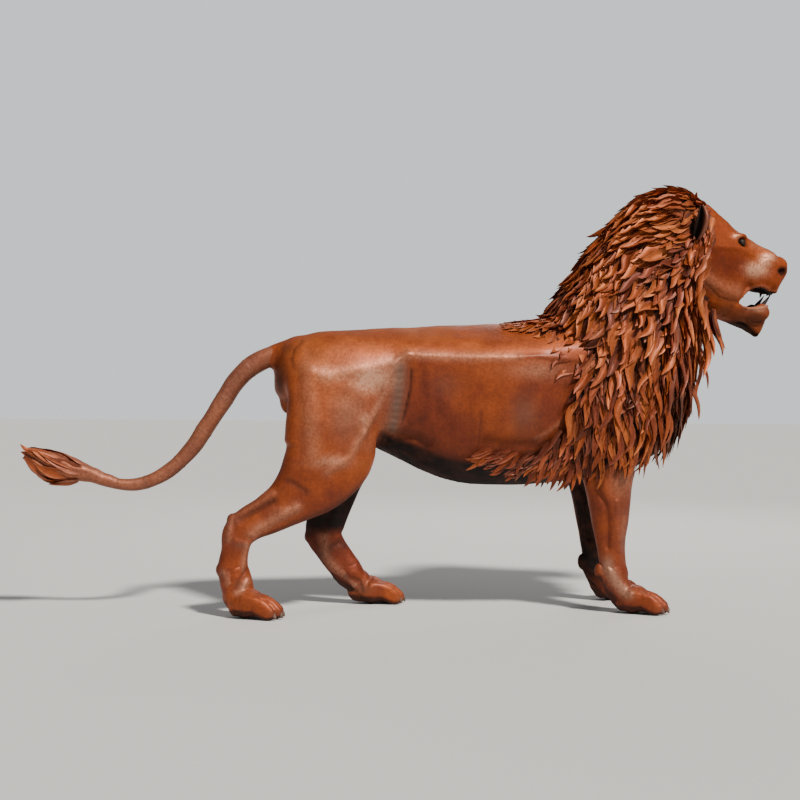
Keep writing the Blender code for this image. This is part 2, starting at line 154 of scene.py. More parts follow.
def tube_faces(numbers):
    """Faces of closed tubes whose points are numbered as (tube, along, around): the quads between
    neighbouring rings, then every first ring and every last ring as an end face."""
    closed = np.concatenate([numbers, numbers[..., :1]], axis=-1)
    return quads(closed) + numbers[:, 0, ::-1].tolist() + numbers[:, -1].tolist()


def link(name, data):
    """A new object that holds the data, put into the scene."""
    obj = bpy.data.objects.new(name, data)
    bpy.context.scene.collection.objects.link(obj)
    return obj


def make_object(name, points, faces, outwards=True):
    """A smooth-shaded mesh object at the origin. Its faces are turned outwards, but not an open sheet's."""
    mesh = bpy.data.meshes.new(name)
    mesh.from_pydata(np.asarray(points).reshape(-1, 3).tolist(), [], faces)
    if outwards:
        shape = bmesh.new()
        shape.from_mesh(mesh)
        bmesh.ops.recalc_face_normals(shape, faces=shape.faces[:])
        shape.to_mesh(mesh)
        shape.free()
    mesh.polygons.foreach_set("use_smooth", np.ones(len(mesh.polygons), bool))
    return link(name, mesh)


def bundle(name, grids):
    """One object that holds every grid as a closed tube."""
    points, faces, first = [], [], 0
    for grid in grids:
        count = grid.shape[0] * grid.shape[1]
        points.append(grid.reshape(-1, 3))
        faces += tube_faces(first + np.arange(count).reshape(1, *grid.shape[:2]))
        first += count
    return make_object(name, np.concatenate(points), faces)


# %% [markdown]
# ## Fusing, cutting and evening out
# A welder runs a bead over a joint and grinds it flush. Blender's Remesh modifier in voxel mode does the
# same to tubes that overlap: it keeps only the outer skin of all of them. Cutters are taken out with a
# Boolean, and a skin can be evened out where a joint should flow.


# %% Fuse, carve and relax
def settle(obj):
    """Bakes the object's modifiers into its mesh."""
    graph = bpy.context.evaluated_depsgraph_get()
    mesh = bpy.data.meshes.new_from_object(obj.evaluated_get(graph))
    obj.modifiers.clear()
    obj.data = mesh
    mesh.polygons.foreach_set("use_smooth", np.ones(len(mesh.polygons), bool))
    return obj


def fuse(obj, voxel, rounds):
    """Welds the overlapping tubes into one skin on a grid of the given size, then relaxes the joints."""
    remesh = obj.modifiers.new("fuse", "REMESH")
    remesh.mode = "VOXEL"
    remesh.voxel_size = voxel
    smooth = obj.modifiers.new("relax", "SMOOTH")
    smooth.factor = 0.5
    smooth.iterations = rounds
    return settle(obj)


def prism(name, outline, half, count=96):
    """A cutter: the outline in the lion's side plane, smoothed and carried across from -half to half."""
    ring = smooth_rows(list(outline) + [outline[0]], count + 1)[:-1]
    sides = [np.stack([ring[:, 0], np.full(count, y), ring[:, 1]], axis=1) for y in (-half, half)]
    return bundle(name, [np.stack(sides)])


def carve(obj, cutter):
    """Takes the cutter's volume out of the object and removes the cutter."""
    cut = obj.modifiers.new("cut", "BOOLEAN")
    cut.operation, cut.object, cut.solver = "DIFFERENCE", cutter, "EXACT"
    settle(obj)
    bpy.data.objects.remove(cutter)


def relax(obj, points, weight, rounds):
    """Evens out the skin: each round moves a point by half its weight towards its neighbours' mean."""
    ends = np.empty(len(obj.data.edges) * 2, np.int32)
    obj.data.edges.foreach_get("vertices", ends)
    a, b = ends.reshape(-1, 2).T
    start, other = np.concatenate([a, b]), np.concatenate([b, a])
    count = np.bincount(start, minlength=len(points))[:, None]
    for _ in range(rounds):
        total = np.stack([np.bincount(start, points[other, k], len(points)) for k in range(3)], axis=1)
        points = points + 0.5 * weight[:, None] * (total / count - points)
    return points


# %% [markdown]
# ## Masks
# Wear, soot, grey rust and painted light follow the form: the underside is darkened as painted shade,
# and an edge is made pale, partly as wear and partly as a painted highlight. Each is a number from 0
# to about 1 at every point, worked out from its place and from the way the skin faces there.


# %% Masks from place and facing
def rise(value, start, over):
    """0 up to the start, then evenly up to 1; over is how far that takes, below zero for downwards."""
    return np.clip((value - start) / over, 0.0, 1.0)


def spot(x, z, cx, cz, rx, rz):
    """1 at (cx, cz), falling off as exp(-distance^2) measured in the radii."""
    return np.exp(-(((x - cx) / rx) ** 2) - ((z - cz) / rz) ** 2)


def bell(points, centre, radii):
    """1 at the centre, falling off as exp(-distance^2) measured in radii; mirrored to both sides."""
    near = np.stack([points[:, 0], np.abs(points[:, 1]), points[:, 2]], axis=1)
    return np.exp(-(((near - np.asarray(centre)) / np.asarray(radii)) ** 2).sum(axis=1))


def underneath(normals, amount=0.8, start=0.20):
    """Painted shade where the skin faces the ground: it darkens the underside as if it lay in shadow."""
    return amount * rise(-normals[:, 2], start, 0.24)


def inner_sides(points, normals, low, high):
    """Painted shade on the sides of the legs that face each other, fading in from one height to the other.
    The right legs are less darkened there, and it fades over a longer way. On the left legs the painted
    shade also reaches a little way round to the back."""
    y, z = points[:, 1], points[:, 2]
    low, high = np.where(y < 0, 0.5 * low, low), np.where(y < 0, 1.5 * high, high)
    behind = 0.25 * np.maximum(-normals[:, 0], 0.0) * (y > 0)
    inwards = rise(-normals[:, 1] * np.sign(y) + behind, 0.05, 0.35)
    up = rise(z, low, high - low) * rise(z, 0.86, -0.12)
    return np.where(y < 0, 0.75, 0.95) * np.maximum(inwards, rise(np.abs(y), 0.10, -0.05)) * up


def triangles(obj):
    """How many triangles the object's faces make."""
    return sum(len(p.vertices) - 2 for p in obj.data.polygons)


def vertex_data(obj):
    """The mesh's points and their normals, as two arrays."""
    count = len(obj.data.vertices)
    place, normal = np.empty(count * 3), np.empty(count * 3)
    obj.data.vertices.foreach_get("co", place)
    obj.data.vertices.foreach_get("normal", normal)
    return place.reshape(-1, 3), normal.reshape(-1, 3)


def set_points(obj, points):
    """Moves the mesh's points to the given places."""
    obj.data.vertices.foreach_set("co", points.ravel())
    obj.data.update()


def set_masks(obj, **masks):
    """Stores one number per point for each name, which the steel's material reads as an attribute."""
    for name, values in masks.items():
        layer = obj.data.attributes.new(name, "FLOAT", "POINT")
        layer.data.foreach_set("value", np.asarray(values, np.float32).ravel())


# %% [markdown]
# ## Bends, seams and hammer marks
# Sheet is never a perfect curve. It has bent edges that catch the light, seams ground flat, slits where
# a fold was left open, and shallow dents from the hammer. Each is a stroke along a line drawn on the
# lion's side, and it lifts or sinks the skin near that line. The same stroke also says where the rust
# turns grey, where the steel is pale, partly from wear and partly as a painted highlight on an edge,
# and where it is dark: soot from the torch at some welds, and painted shade in slits, grooves and
# hollows. So shape and colour agree.


# %% Rows of the stroke tables
def stroke(kind, where, width, height, line, **marks):
    """A row of a stroke table, in millimetres: its kind, its side of the lion, how wide it is, how far it
    lifts (or sinks) the skin, the (x, z) places it runs through, and its marks: how pale, dark or grey it
    makes the steel, as wear, dark welds and grey rust, and as painted highlights and painted shade."""
    return kind, where, width / 1000, height / 1000, metres(line), marks


bend, slit, weld, plate, fold = (partial(stroke, kind) for kind in ("bend", "slit", "weld", "plate", "fold"))


def dab(where, *numbers, **marks):
    """A round patch, in millimetres: its side, x, z, reach along x, reach along z, height and marks."""
    return where, *(value / 1000 for value in numbers), marks


# %% Work and hammer a skin
def along_line(line, x, z):
    """For each point: the distance to the line, which side of it the point is on (+1 left), how far along
    the line it is; and the length of the whole line."""
    best, side, run, start = np.full(len(x), 1e9), np.zeros(len(x)), np.zeros(len(x)), 0.0
    for (ax, az), (bx, bz) in zip(line[:-1], line[1:]):
        dx, dz = bx - ax, bz - az
        length = math.hypot(dx, dz)
        t = np.clip(((x - ax) * dx + (z - az) * dz) / length**2, 0.0, 1.0)
        px, pz = x - (ax + t * dx), z - (az + t * dz)
        gap = np.hypot(px, pz)
        closer = gap < best
        best = np.where(closer, gap, best)
        side = np.where(closer, np.sign(dx * pz - dz * px), side)
        run = np.where(closer, start + t * length, run)
        start += length
    return best, side, run, start


BEAD = 0.027  # from one bead of a weld to the next


def profile(kind, gap, side, run, total, width):
    """The cross-section of a stroke, 0 to 1. bend: bell curve. slit: sharp V. weld: bell with beads.
    plate: a step down from its left side to its right, which fades out over five widths.
    fold: nothing on its right; on its left the sheet turns away at once, most at one width."""
    ends = np.clip(np.minimum(run, total - run) / (0.3 * total), 0.0, 1.0) ** 0.5
    if kind == "slit":
        return np.exp(-gap / width) * ends
    if kind == "weld":
        return np.exp(-((gap / width) ** 2)) * (0.7 + 0.3 * np.sin(run * 2 * math.pi / BEAD))
    if kind == "plate":
        return 0.5 * (1 + np.tanh(side * gap / (0.3 * width))) * np.exp(-((gap / (5 * width)) ** 2)) * ends
    if kind == "fold":
        return np.where(side > 0, gap / width * np.exp(1 - gap / width), 0.0) * ends
    return np.exp(-((gap / width) ** 2))


def work(points, normals, strokes, dabs):
    """Pushes the skin along its normals by the sum of height * profile over strokes and of height * spot
    over dabs, less where it faces away from the side. Returns the new points and the masks."""
    lift = np.zeros(len(points))
    masks = {name: np.zeros(len(points)) for name in ("worn", "soot", "grey")}
    facing = np.clip(np.abs(normals[:, 1]) * 2.2, 0.0, 1.0)
    sides = {"right": points[:, 1] < 0, "left": points[:, 1] > 0, "both": np.ones(len(points), bool)}
    x, z = points[:, 0], points[:, 2]
    for kind, where, width, height, line, marks in strokes:
        reach = width * (12 if kind == "plate" else 5)
        xs, zs = zip(*line)
        near = sides[where] & (x > min(xs) - reach) & (x < max(xs) + reach)
        near = np.flatnonzero(near & (z > min(zs) - reach) & (z < max(zs) + reach))
        gap, side, run, total = along_line(line, x[near], z[near])
        shape = profile(kind, gap, side, run, total, width) * facing[near]
        lift[near] += height * shape
        for name, amount in marks.items():
            spread = np.exp(-((gap / (1.5 * width)) ** 2)) * facing[near] * amount
            masks[name][near] = np.maximum(masks[name][near], spread)
    for where, cx, cz, rx, rz, height, marks in dabs:
        patch = spot(x, z, cx, cz, rx, rz) * facing * sides[where]
        lift += height * patch
        for name, amount in marks.items():
            masks[name] = np.maximum(masks[name], patch * amount)
    return points + normals * lift[:, None], masks


def hammered(points, wavelength, depth, seed, waves=9):
    """Shallow dents: depth / sqrt(waves) * the sum of sines of the place along random directions."""
    draw = np.random.default_rng(seed)
    ways = draw.normal(size=(waves, 3))
    ways *= (2 * math.pi / wavelength) / np.linalg.norm(ways, axis=1)[:, None]
    phase = draw.uniform(0, 2 * math.pi, waves)
    return np.sin(points @ ways.T + phase).sum(axis=1) * depth / math.sqrt(waves)


def dress(obj, strokes, dabs, *dents):
    """Works a skin by its strokes and dabs, adds dents of (wavelength, depth, seed) and flattens what is
    below the ground, so the feet stand flat. Returns the points, the first normals and the masks."""
    points, normals = vertex_data(obj)
    points, masks = work(points, normals, strokes, dabs)
    points = points + normals * sum(hammered(points, *each) for each in dents)[:, None]
    points[:, 2] = np.maximum(points[:, 2], 0.0)
    set_points(obj, points)
    return points, normals, masks


def deepen(masks, name, *more):
    """Lays more masks over a named one: the strongest counts."""
    masks[name] = np.maximum.reduce([masks[name], *more])


# %% [markdown]
# ## Materials: waxed rust
# The steel has rusted evenly and was then waxed, so it is orange-brown, mottled, with a low gloss and a
# fine sparkle. One node group gives the colour and the roughness of rust from the place on the object,
# and a second gives its grain. The colour group also lays pale over the rust for wear and for painted
# highlights, broken into specks of painted glints, and near black for soot and for painted shade. The
# body and the blades use the same groups with their own values.


# %% Node helpers
def node(tree, kind, **values):
    """Adds a node. A name with a leading _ sets a property, and any other sets an input's own value."""
    made = tree.nodes.new(kind)
    for name, value in values.items():
        if name.startswith("_"):
            setattr(made, name[1:], value)
        else:
            made.inputs[name.replace("_", " ")].default_value = value
    return made


def group(name, inputs, outputs):
    """An empty node group with its sockets, and its two end nodes."""
    tree = bpy.data.node_groups.new(name, "ShaderNodeTree")
    for socket, kind, value in inputs:
        made = tree.interface.new_socket(socket, in_out="INPUT", socket_type="NodeSocket" + kind)
        if value is not None:
            made.default_value = value
    for socket, kind in outputs:
        tree.interface.new_socket(socket, in_out="OUTPUT", socket_type="NodeSocket" + kind)
    return tree, tree.nodes.new("NodeGroupInput"), tree.nodes.new("NodeGroupOutput")


def feed(tree, socket, value):
    """Gives an input what it needs: a link from a socket, a colour with its alpha, or a number."""
    if isinstance(value, bpy.types.NodeSocket):
        tree.links.new(value, socket)
    else:
        socket.default_value = (*value, 1.0) if isinstance(value, tuple) else value


def blend_to(tree, factor, base, over, mode="MIX"):
    """Mixes one colour over another; factor, base and over may be sockets or plain values."""
    mix = node(tree, "ShaderNodeMix", _data_type="RGBA", _blend_type=mode)
    for number, value in ((0, factor), (6, base), (7, over)):  # the colour inputs of a Mix node
        feed(tree, mix.inputs[number], value)
    return mix.outputs[2]


def maths(operation, tree, a, b, clamp=False):
    """One sum or product of two sockets or numbers."""
    made = node(tree, "ShaderNodeMath", _operation=operation, _use_clamp=clamp)
    feed(tree, made.inputs[0], a)
    feed(tree, made.inputs[1], b)
    return made.outputs[0]


plus, minus, times = (partial(maths, operation) for operation in ("ADD", "SUBTRACT", "MULTIPLY"))


def noise(tree, vector, scale, detail=3.0, roughness=0.55, stretch=None):
    """Noise over the place; stretch multiplies the place first, so streaks run along the small axis."""
    if stretch:
        mapping = tree.nodes.new("ShaderNodeMapping")
        mapping.inputs["Scale"].default_value = stretch
        tree.links.new(vector, mapping.inputs["Vector"])
        vector = mapping.outputs["Vector"]
    made = node(tree, "ShaderNodeTexNoise", Scale=scale, Detail=detail, Roughness=roughness)
    tree.links.new(vector, made.inputs["Vector"])
    return made.outputs["Fac"]


def ramp(tree, factor, *stops):
    """A colour ramp with (place, colour or brightness) stops."""
    made = tree.nodes.new("ShaderNodeValToRGB")
    band = made.color_ramp
    while len(band.elements) < len(stops):
        band.elements.new(0.5)
    for element, (place, colour) in zip(band.elements, stops):
        element.position = place
        element.color = (*colour, 1.0) if isinstance(colour, tuple) else (colour, colour, colour, 1.0)
    tree.links.new(factor, made.inputs["Fac"])
    return made.outputs["Color"]


# %% The rust group
BRIGHT = (0.43, 0.105, 0.020)
ORANGE = (0.350, 0.070, 0.013)
RED_BROWN = (0.190, 0.033, 0.011)
UMBER = (0.075, 0.014, 0.006)
PLUM = (0.130, 0.034, 0.020)
# the pale colour below is laid by the pale mask: partly worn steel, partly painted highlights and sheen
PALE = (0.56, 0.270, 0.165)
GREY = (0.130, 0.072, 0.052)
# the near black below is laid by the dark mask: soot at welds, and painted shade in grooves, hollows and
# undersides
SOOT_AND_SHADE = (0.010, 0.005, 0.004)

marks = [(name, "Float", 0.0) for name in ("Tone", "Worn", "Soot", "Grey", "Dull")]
sockets = [("Color", "Color"), ("Roughness", "Float")]
rust, rust_in, rust_out = group("rust", [("Place", "Vector", None), *marks], sockets)
place = rust_in.outputs["Place"]
large = noise(rust, place, 3.1, 4.0)
medium = noise(rust, place, 13.0, 4.0, 0.6)
fine = noise(rust, place, 90.0, 3.0, 0.7)
streak = noise(rust, place, 1.0, 3.0, 0.5, (22.0, 22.0, 2.2))
level = plus(rust, times(rust, large, 0.65), times(rust, medium, 0.35))
level = plus(rust, level, times(rust, rust_in.outputs["Tone"], 0.22))
colour = ramp(rust, level, (0.20, UMBER), (0.40, RED_BROWN), (0.64, ORANGE), (0.88, BRIGHT))
patch = ramp(rust, noise(rust, place, 5.3, 5.0, 0.6), (0.52, 0.0), (0.68, 1.0))
colour = blend_to(rust, times(rust, patch, 0.18), colour, PLUM)
runs = ramp(rust, streak, (0.35, (0.45, 0.42, 0.40)), (0.6, (1.0, 1.0, 1.0)))
colour = blend_to(rust, 0.24, colour, runs, "MULTIPLY")
speck = ramp(rust, fine, (0.42, (0.62, 0.58, 0.55)), (0.60, (1.12, 1.08, 1.05)))
colour = blend_to(rust, 0.40, colour, speck, "MULTIPLY")
ragged = plus(rust, 0.55, times(rust, medium, 0.9))
grey = times(rust, rust_in.outputs["Grey"], ragged, True)
colour = blend_to(rust, grey, colour, GREY)
# the pale mask, broken into specks: wear, painted highlights and painted glints
speckled = plus(rust, -0.35, times(rust, fine, 2.7))
worn = times(rust, rust_in.outputs["Worn"], times(rust, ragged, speckled), True)
colour = blend_to(rust, worn, colour, PALE)
# the dark mask: soot at welds and painted shade
sooty = times(rust, rust_in.outputs["Soot"], ragged, True)
colour = blend_to(rust, sooty, colour, SOOT_AND_SHADE)
rust.links.new(colour, rust_out.inputs["Color"])
rough = plus(rust, 0.34, times(rust, medium, 0.26))
rough = plus(rust, rough, times(rust, fine, 0.10))
rough = minus(rust, rough, times(rust, worn, 0.08))
rough = plus(rust, rough, times(rust, rust_in.outputs["Dull"], 0.22))
rough = plus(rust, rough, times(rust, sooty, 0.3), True)
rust.links.new(rough, rust_out.inputs["Roughness"])

# %% The grain group
inputs = [("Place", "Vector", None), ("Coarse", "Float", 1.0)]
grain, grain_in, grain_out = group("rust_grain", inputs, [("Height", "Float")])
place = grain_in.outputs["Place"]
pits = times(grain, noise(grain, place, 240.0, 3.0, 0.75), 0.35)
scale = times(grain, noise(grain, place, 46.0, 4.0, 0.6), grain_in.outputs["Coarse"])
grain.links.new(plus(grain, pits, scale), grain_out.inputs["Height"])
print("node groups:", [g.name for g in bpy.data.node_groups])


# %% Steel materials
def bare_material(name, metallic):
    """A new material, its node tree, its shader, and the place on the object that its patterns follow."""
    material = bpy.data.materials.new(name)
    material.use_nodes = True
    tree = material.node_tree
    shader = tree.nodes["Principled BSDF"]
    shader.inputs["Metallic"].default_value = metallic
    return material, tree, shader, tree.nodes.new("ShaderNodeTexCoord").outputs["Object"]


def steel(name, metallic, coat, bump, coarse, masks=(), specular=0.3):
    """Rusted sheet. The groups give colour, roughness and height; the attributes named in masks say
    where it is pale from wear and from painted highlights, blackened at welds and by painted shade, grey,
    dull or of another tone. Gloss is set on the shader's own sockets."""
    material, tree, shader, where = bare_material(name, metallic)
    shader.inputs["Coat Weight"].default_value = coat
    shader.inputs["Coat Roughness"].default_value = 0.24
    shader.inputs["Specular IOR Level"].default_value = specular
    made = node(tree, "ShaderNodeGroup", _node_tree=rust)
    tree.links.new(where, made.inputs["Place"])
    for attribute in masks:
        read = node(tree, "ShaderNodeAttribute", _attribute_name=attribute)
        tree.links.new(read.outputs["Fac"], made.inputs[attribute.capitalize()])
    tree.links.new(made.outputs["Color"], shader.inputs["Base Color"])
    tree.links.new(made.outputs["Roughness"], shader.inputs["Roughness"])
    rough_skin = node(tree, "ShaderNodeGroup", _node_tree=grain, Coarse=coarse)
    tree.links.new(where, rough_skin.inputs["Place"])
    relief = node(tree, "ShaderNodeBump", Strength=bump, Distance=0.004)
    tree.links.new(rough_skin.outputs["Height"], relief.inputs["Height"])
    tree.links.new(relief.outputs["Normal"], shader.inputs["Normal"])
    return material


def plain(name, colour, roughness, metallic):
    """Bare dark steel with a little mottling in its colour and gloss."""
    material, tree, shader, where = bare_material(name, metallic)
    cloud = noise(tree, where, 70.0, 4.0)
    dark = tuple(0.45 * c for c in colour)
    tree.links.new(ramp(tree, cloud, (0.35, dark), (0.65, colour)), shader.inputs["Base Color"])
    tree.links.new(plus(tree, roughness, times(tree, cloud, 0.2)), shader.inputs["Roughness"])
    return material


MASKS = ("tone", "worn", "soot", "grey")
SKIN = steel("rusted_sheet", 0.45, 0.06, 0.40, 1.0, MASKS)
BLADE = steel("blade_steel", 0.40, 0.03, 0.24, 0.6, MASKS)
FACE = steel("face_sheet", 0.45, 0.0, 0.40, 0.8, (*MASKS, "dull"), specular=0.12)
# the mane's backing is near black as painted shade for the gaps between the blades
CORE = plain("sooty_backing", (0.030, 0.010, 0.005), 0.9, 0.0)
DARK = plain("forged_dark_steel", (0.034, 0.020, 0.016), 0.48, 0.6)
CLAWS = plain("ground_steel", (0.200, 0.125, 0.095), 0.45, 0.4)
ROOT = sorted(frame["bodies"])[0]
print("materials:", [m.name for m in bpy.data.materials])


def finish(obj, material, nodes):
    """Gives the piece its material, hangs it on the lion's body, hides the solid pieces it stands for, and
    prints its triangle count.
    """
    obj.data.materials.clear()
    obj.data.materials.append(material)
    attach(obj, ROOT)
    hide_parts(*nodes)
    print(f"{obj.name}: {triangles(obj)} triangles")


# %% [markdown]
# ## Trunk and hind legs
# On the real lion the flank, the haunch and the hind legs are one welded skin. The tubes of trunk, legs
# and tail root and a few knobs are laid over each other and fused on a fine grid, which makes the same
# flowing joints as a ground weld. The strokes then bend the sheet: the long edge of the back, the ridge
# down the front of the thigh, the open slit in the flank fold and the tendon behind the shank.

# %% Ribs of the trunk and the hind legs
TRUNK = metres([
    (-612, 1010, 900, 50), (-585, 1078, 868, 118), (-470, 1138, 810, 188), (-320, 1156, 740, 218),
    (-150, 1168, 648, 212), (0, 1177, 578, 222), (150, 1185, 526, 242), (300, 1193, 514, 256),
    (450, 1205, 516, 256), (600, 1230, 530, 240), (760, 1240, 550, 216), (920, 1180, 600, 180),
    (1020, 1080, 680, 125),
])
SIDE_SECTION = [  # (up, out): the trunk's half section, with the bent edge and the turn under the belly
    (1.0, 0.0), (0.965, 0.28), (0.87, 0.56), (0.73, 0.82), (0.6, 0.955), (0.53, 0.99), (0.42, 1.0),
    (0.1, 0.975), (-0.25, 0.915), (-0.52, 0.84), (-0.68, 0.755), (-0.78, 0.62), (-0.9, 0.36), (-1.0, 0.0),
]
HIND_BACK = metres([
    (-360, 1040, 100, 20), (-375, 960, 180, 72), (-378, 850, 190, 96), (-390, 740, 185, 104),
    (-404, 640, 183, 98), (-470, 540, 148, 84), (-560, 458, 100, 66), (-640, 408, 80, 52),
    (-710, 372, 70, 45), (-757, 330, 66, 44), (-768, 270, 55, 42), (-776, 200, 60, 42),
    (-764, 135, 62, 46), (-750, 80, 60, 52),
])
HIND_FORWARD = metres([
    (-360, 1040, 100, 20), (-370, 960, 180, 72), (-350, 850, 186, 96), (-322, 740, 165, 102),
    (-310, 630, 130, 94), (-334, 530, 110, 80), (-358, 440, 94, 64), (-380, 360, 86, 52),
    (-388, 295, 76, 46), (-360, 240, 68, 44), (-322, 185, 66, 43), (-280, 130, 62, 46), (-235, 80, 46, 42),
])
HIND_SIDE = 0.1505  # sideways from the middle to a hind leg
TAIL_ROOT = metres([
    (-480, 1076, 52, 60), (-560, 1062, 51, 52), (-620, 1046, 47, 45), (-668, 1026, 42.5, 40.5),
])

# %% Strokes of the trunk and the hind legs
SKIN_STROKES = [
    # the back's long bent edge, pale partly from wear and partly as a painted highlight, and darkened as
    # painted shade where it runs in under the mane
    bend("both", 12, 3, [(360, 1048), (310, 1046), (155, 1046), (0, 1050), (-90, 1053)], worn=0.34),
    bend("both", 10, 3, [(700, 1030), (545, 1043), (440, 1054), (360, 1048)], soot=0.25),
    # the haunch: its crest, its front ridge down to the knee, its rear ridge; the pale along them is a
    # painted highlight
    bend("both", 50, 6, [(-200, 995), (-300, 980), (-400, 974), (-460, 975)], worn=0.14),
    bend("both", 24, 4, [(-430, 968), (-330, 976), (-240, 996), (-165, 1020)], worn=0.44),
    fold("both", 45, -3.5, [(-110, 1045), (-141, 1010), (-166, 963), (-190, 884), (-229, 805),
         (-273, 726)]),
    fold("right", 42, -7, [(-229, 805), (-273, 726), (-326, 637), (-414, 578), (-522, 548)]),
    bend("both", 14, 6, [(-90, 1053), (-136, 1025), (-164, 970), (-188, 895), (-225, 812),
         (-268, 735)], worn=0.34),
    bend("right", 14, 5, [(-268, 735), (-322, 642), (-414, 584)], worn=0.26),
    bend("both", 24, 4, [(-492, 1000), (-484, 832), (-472, 655)], worn=0.22),
    bend("both", 20, -5, [(-535, 980), (-528, 830), (-520, 660)]),
    # the flank fold: hollow band, ground strip, open slit, and the flap under it; the dark in the slit and
    # under the flap is painted shade
    bend("both", 24, -12, [(-96, 1015), (-108, 930), (-122, 850), (-145, 770), (-185, 690)]),
    bend("both", 22, 4, [(-170, 900), (-178, 820), (-195, 750), (-235, 680)], worn=0.1),
    weld("both", 19, 6, [(-124, 1000), (-126, 914), (-136, 815), (-148, 755)], grey=0.9),
    slit("both", 3.6, -12, [(-76, 990), (-80, 914), (-95, 835), (-109, 776)], soot=0.62),
    plate("both", 8, 10, [(-173, 665), (-167, 712), (-121, 752), (-88, 765)]),
    bend("both", 24, -18, [(-110, 715), (-49, 712), (-5, 685)], soot=0.45),
    # ribs: the upright seam, the weld in front of it and the marks by the fringe; the dark in the seam and
    # in the hollow above the fringe is painted shade
    slit("both", 5, -5, [(207, 830), (205, 762), (203, 690)], soot=0.4),
    bend("both", 30, -10, [(235, 700), (309, 690), (420, 690)], soot=0.3),
    weld("both", 7, 3, [(435, 718), (480, 742), (522, 774), (558, 800)], worn=0.15),
    slit("both", 8, -5, [(455, 694), (517, 716), (543, 752)], soot=0.6),
    # tail root
    slit("both", 6, -6, [(-505, 1105), (-545, 1075), (-555, 1030), (-545, 1000)], soot=0.4),
    # shank and hock of the leg drawn back; the dark in its grooves is painted shade, and the pale on its
    # ridges a painted highlight
    slit("right", 10, -12, [(-617, 469), (-645, 455), (-678, 435), (-723, 410), (-767, 385)], soot=0.55),
    bend("right", 12, 6, [(-628, 494), (-684, 454), (-734, 426), (-784, 400)], worn=0.15),
    bend("right", 15, 10, [(-706, 332), (-678, 357), (-644, 374), (-622, 391), (-577, 416),
         (-532, 441)], worn=0.35),
    slit("right", 10, -6, [(-565, 548), (-530, 526), (-495, 503)], soot=0.5),
    plate("right", 8, 5, [(-694, 322), (-727, 305), (-756, 308), (-778, 323), (-795, 312)]),
    bend("right", 9, 6, [(-790, 384), (-794, 356), (-797, 310)], worn=0.25),
    bend("right", 8, 5, [(-727, 290), (-735, 231), (-740, 180)], worn=0.25),
    bend("right", 10, -6, [(-750, 290), (-756, 231), (-762, 180)]),
    slit("right", 7, -7, [(-722, 195), (-756, 152), (-776, 120), (-778, 95)], soot=0.5),
    bend("right", 9, 5, [(-815, 180), (-800, 165), (-795, 140)], worn=0.3),
    bend("right", 10, 6, [(-773, 97), (-755, 100), (-735, 125), (-715, 155)], worn=0.25),
    slit("right", 8, -6, [(-800, 75), (-747, 50), (-702, 24), (-646, 12)], soot=0.6),
    # the leg set forward; the dark in its grooves is painted shade, and the pale on its ridges a painted
    # highlight
    bend("left", 14, 8, [(-395, 300), (-385, 200), (-330, 141), (-281, 111), (-257, 86)], worn=0.25),
    slit("left", 9, -12, [(-290, 125), (-236, 100), (-220, 68), (-211, 40)], soot=0.8),
    slit("left", 10, -6, [(-362, 244), (-325, 268), (-307, 250)], soot=0.5),
    bend("left", 10, 5, [(-214, 68), (-153, 49), (-110, 42)], worn=0.2),
    bend("left", 14, -7, [(-360, 420), (-395, 340), (-385, 280)]),
]
# grey rust, and soot at the tail root; the pale patches on haunch, thigh, knee, hock and below the back's
# edge are painted highlights and sheen, and the dark patch under the tail is painted shade
SKIN_DABS = [
    dab("both", -340, 800, 75, 110, -7, grey=0.4), dab("both", 380, 820, 55, 75, 0, grey=0.45),
    dab("both", 60, 930, 60, 50, 0, grey=0.22), dab("both", -550, 1075, 35, 22, 0, soot=0.45),
    dab("both", -475, 1055, 22, 30, 0, soot=0.3), dab("right", -400, 622, 80, 26, 5, worn=0.5),
    dab("both", 430, 995, 120, 34, 0, worn=0.3), dab("both", -240, 955, 80, 56, 0, worn=1.05),
    dab("both", -350, 965, 80, 30, 0, worn=0.4), dab("both", -600, 920, 24, 100, 0, soot=0.9),
    dab("both", -310, 860, 100, 110, 0, worn=0.14), dab("both", -262, 790, 30, 34, 3, worn=0.48),
    dab("both", -470, 985, 25, 25, 3, worn=0.35), dab("right", -600, 425, 35, 20, 6, worn=0.15),
    dab("right", -640, 362, 14, 12, -4, worn=0.4), dab("right", -745, 290, 30, 18, 0, grey=0.5),
    dab("left", -250, 60, 60, 35, 0, grey=0.5), dab("both", 120, 700, 100, 60, -6),
]


def tones(points, seed):
    """Broad differences of rust: brighter higher up, browner lower down, with broad random mottling."""
    return 0.45 * np.clip((points[:, 2] - 0.75) / 0.45, -1.0, 1.0) + hammered(points, 0.55, 0.35, seed)


# %% Make the trunk skin
KNOBS = metres([  # centre x, y, z and the radii
    (-785, -150, 388, 22, 26, 24),  # point of the hock
    (-826, -150, 188, 20, 18, 28),  # spur above the paw
    (-448, 150, 290, 24, 30, 30),  # the same hock on the leg set forward
    (-556, 0, 875, 36, 40, 70),  # under the tail
])
RELAXED = [  # strength, x, z and reaches in metres, where the welds of hip, rump and flank are evened out
    (1.3, -0.36, 0.99, 0.24, 0.12), (1.2, -0.56, 1.04, 0.09, 0.09), (1.0, -0.17, 0.85, 0.07, 0.14),
]
rounded = loft(TRUNK, along=160, around=120, power=2.15, kind="upright")
edged = loft(TRUNK, along=160, around=120, kind="upright", section=SIDE_SECTION)
share = rise(edged[:, :1, :1], -0.30, 0.24)  # the edge fades out over the haunch
grids = [rounded * (1 - share) + edged * share]
grids += [loft(HIND_BACK, -HIND_SIDE, 120, 56), loft(HIND_FORWARD, HIND_SIDE, 120, 56)]
grids.append(loft(TAIL_ROOT, along=24, around=40, power=2.05))
grids += [knob(row[:3], row[3:]) for row in KNOBS]
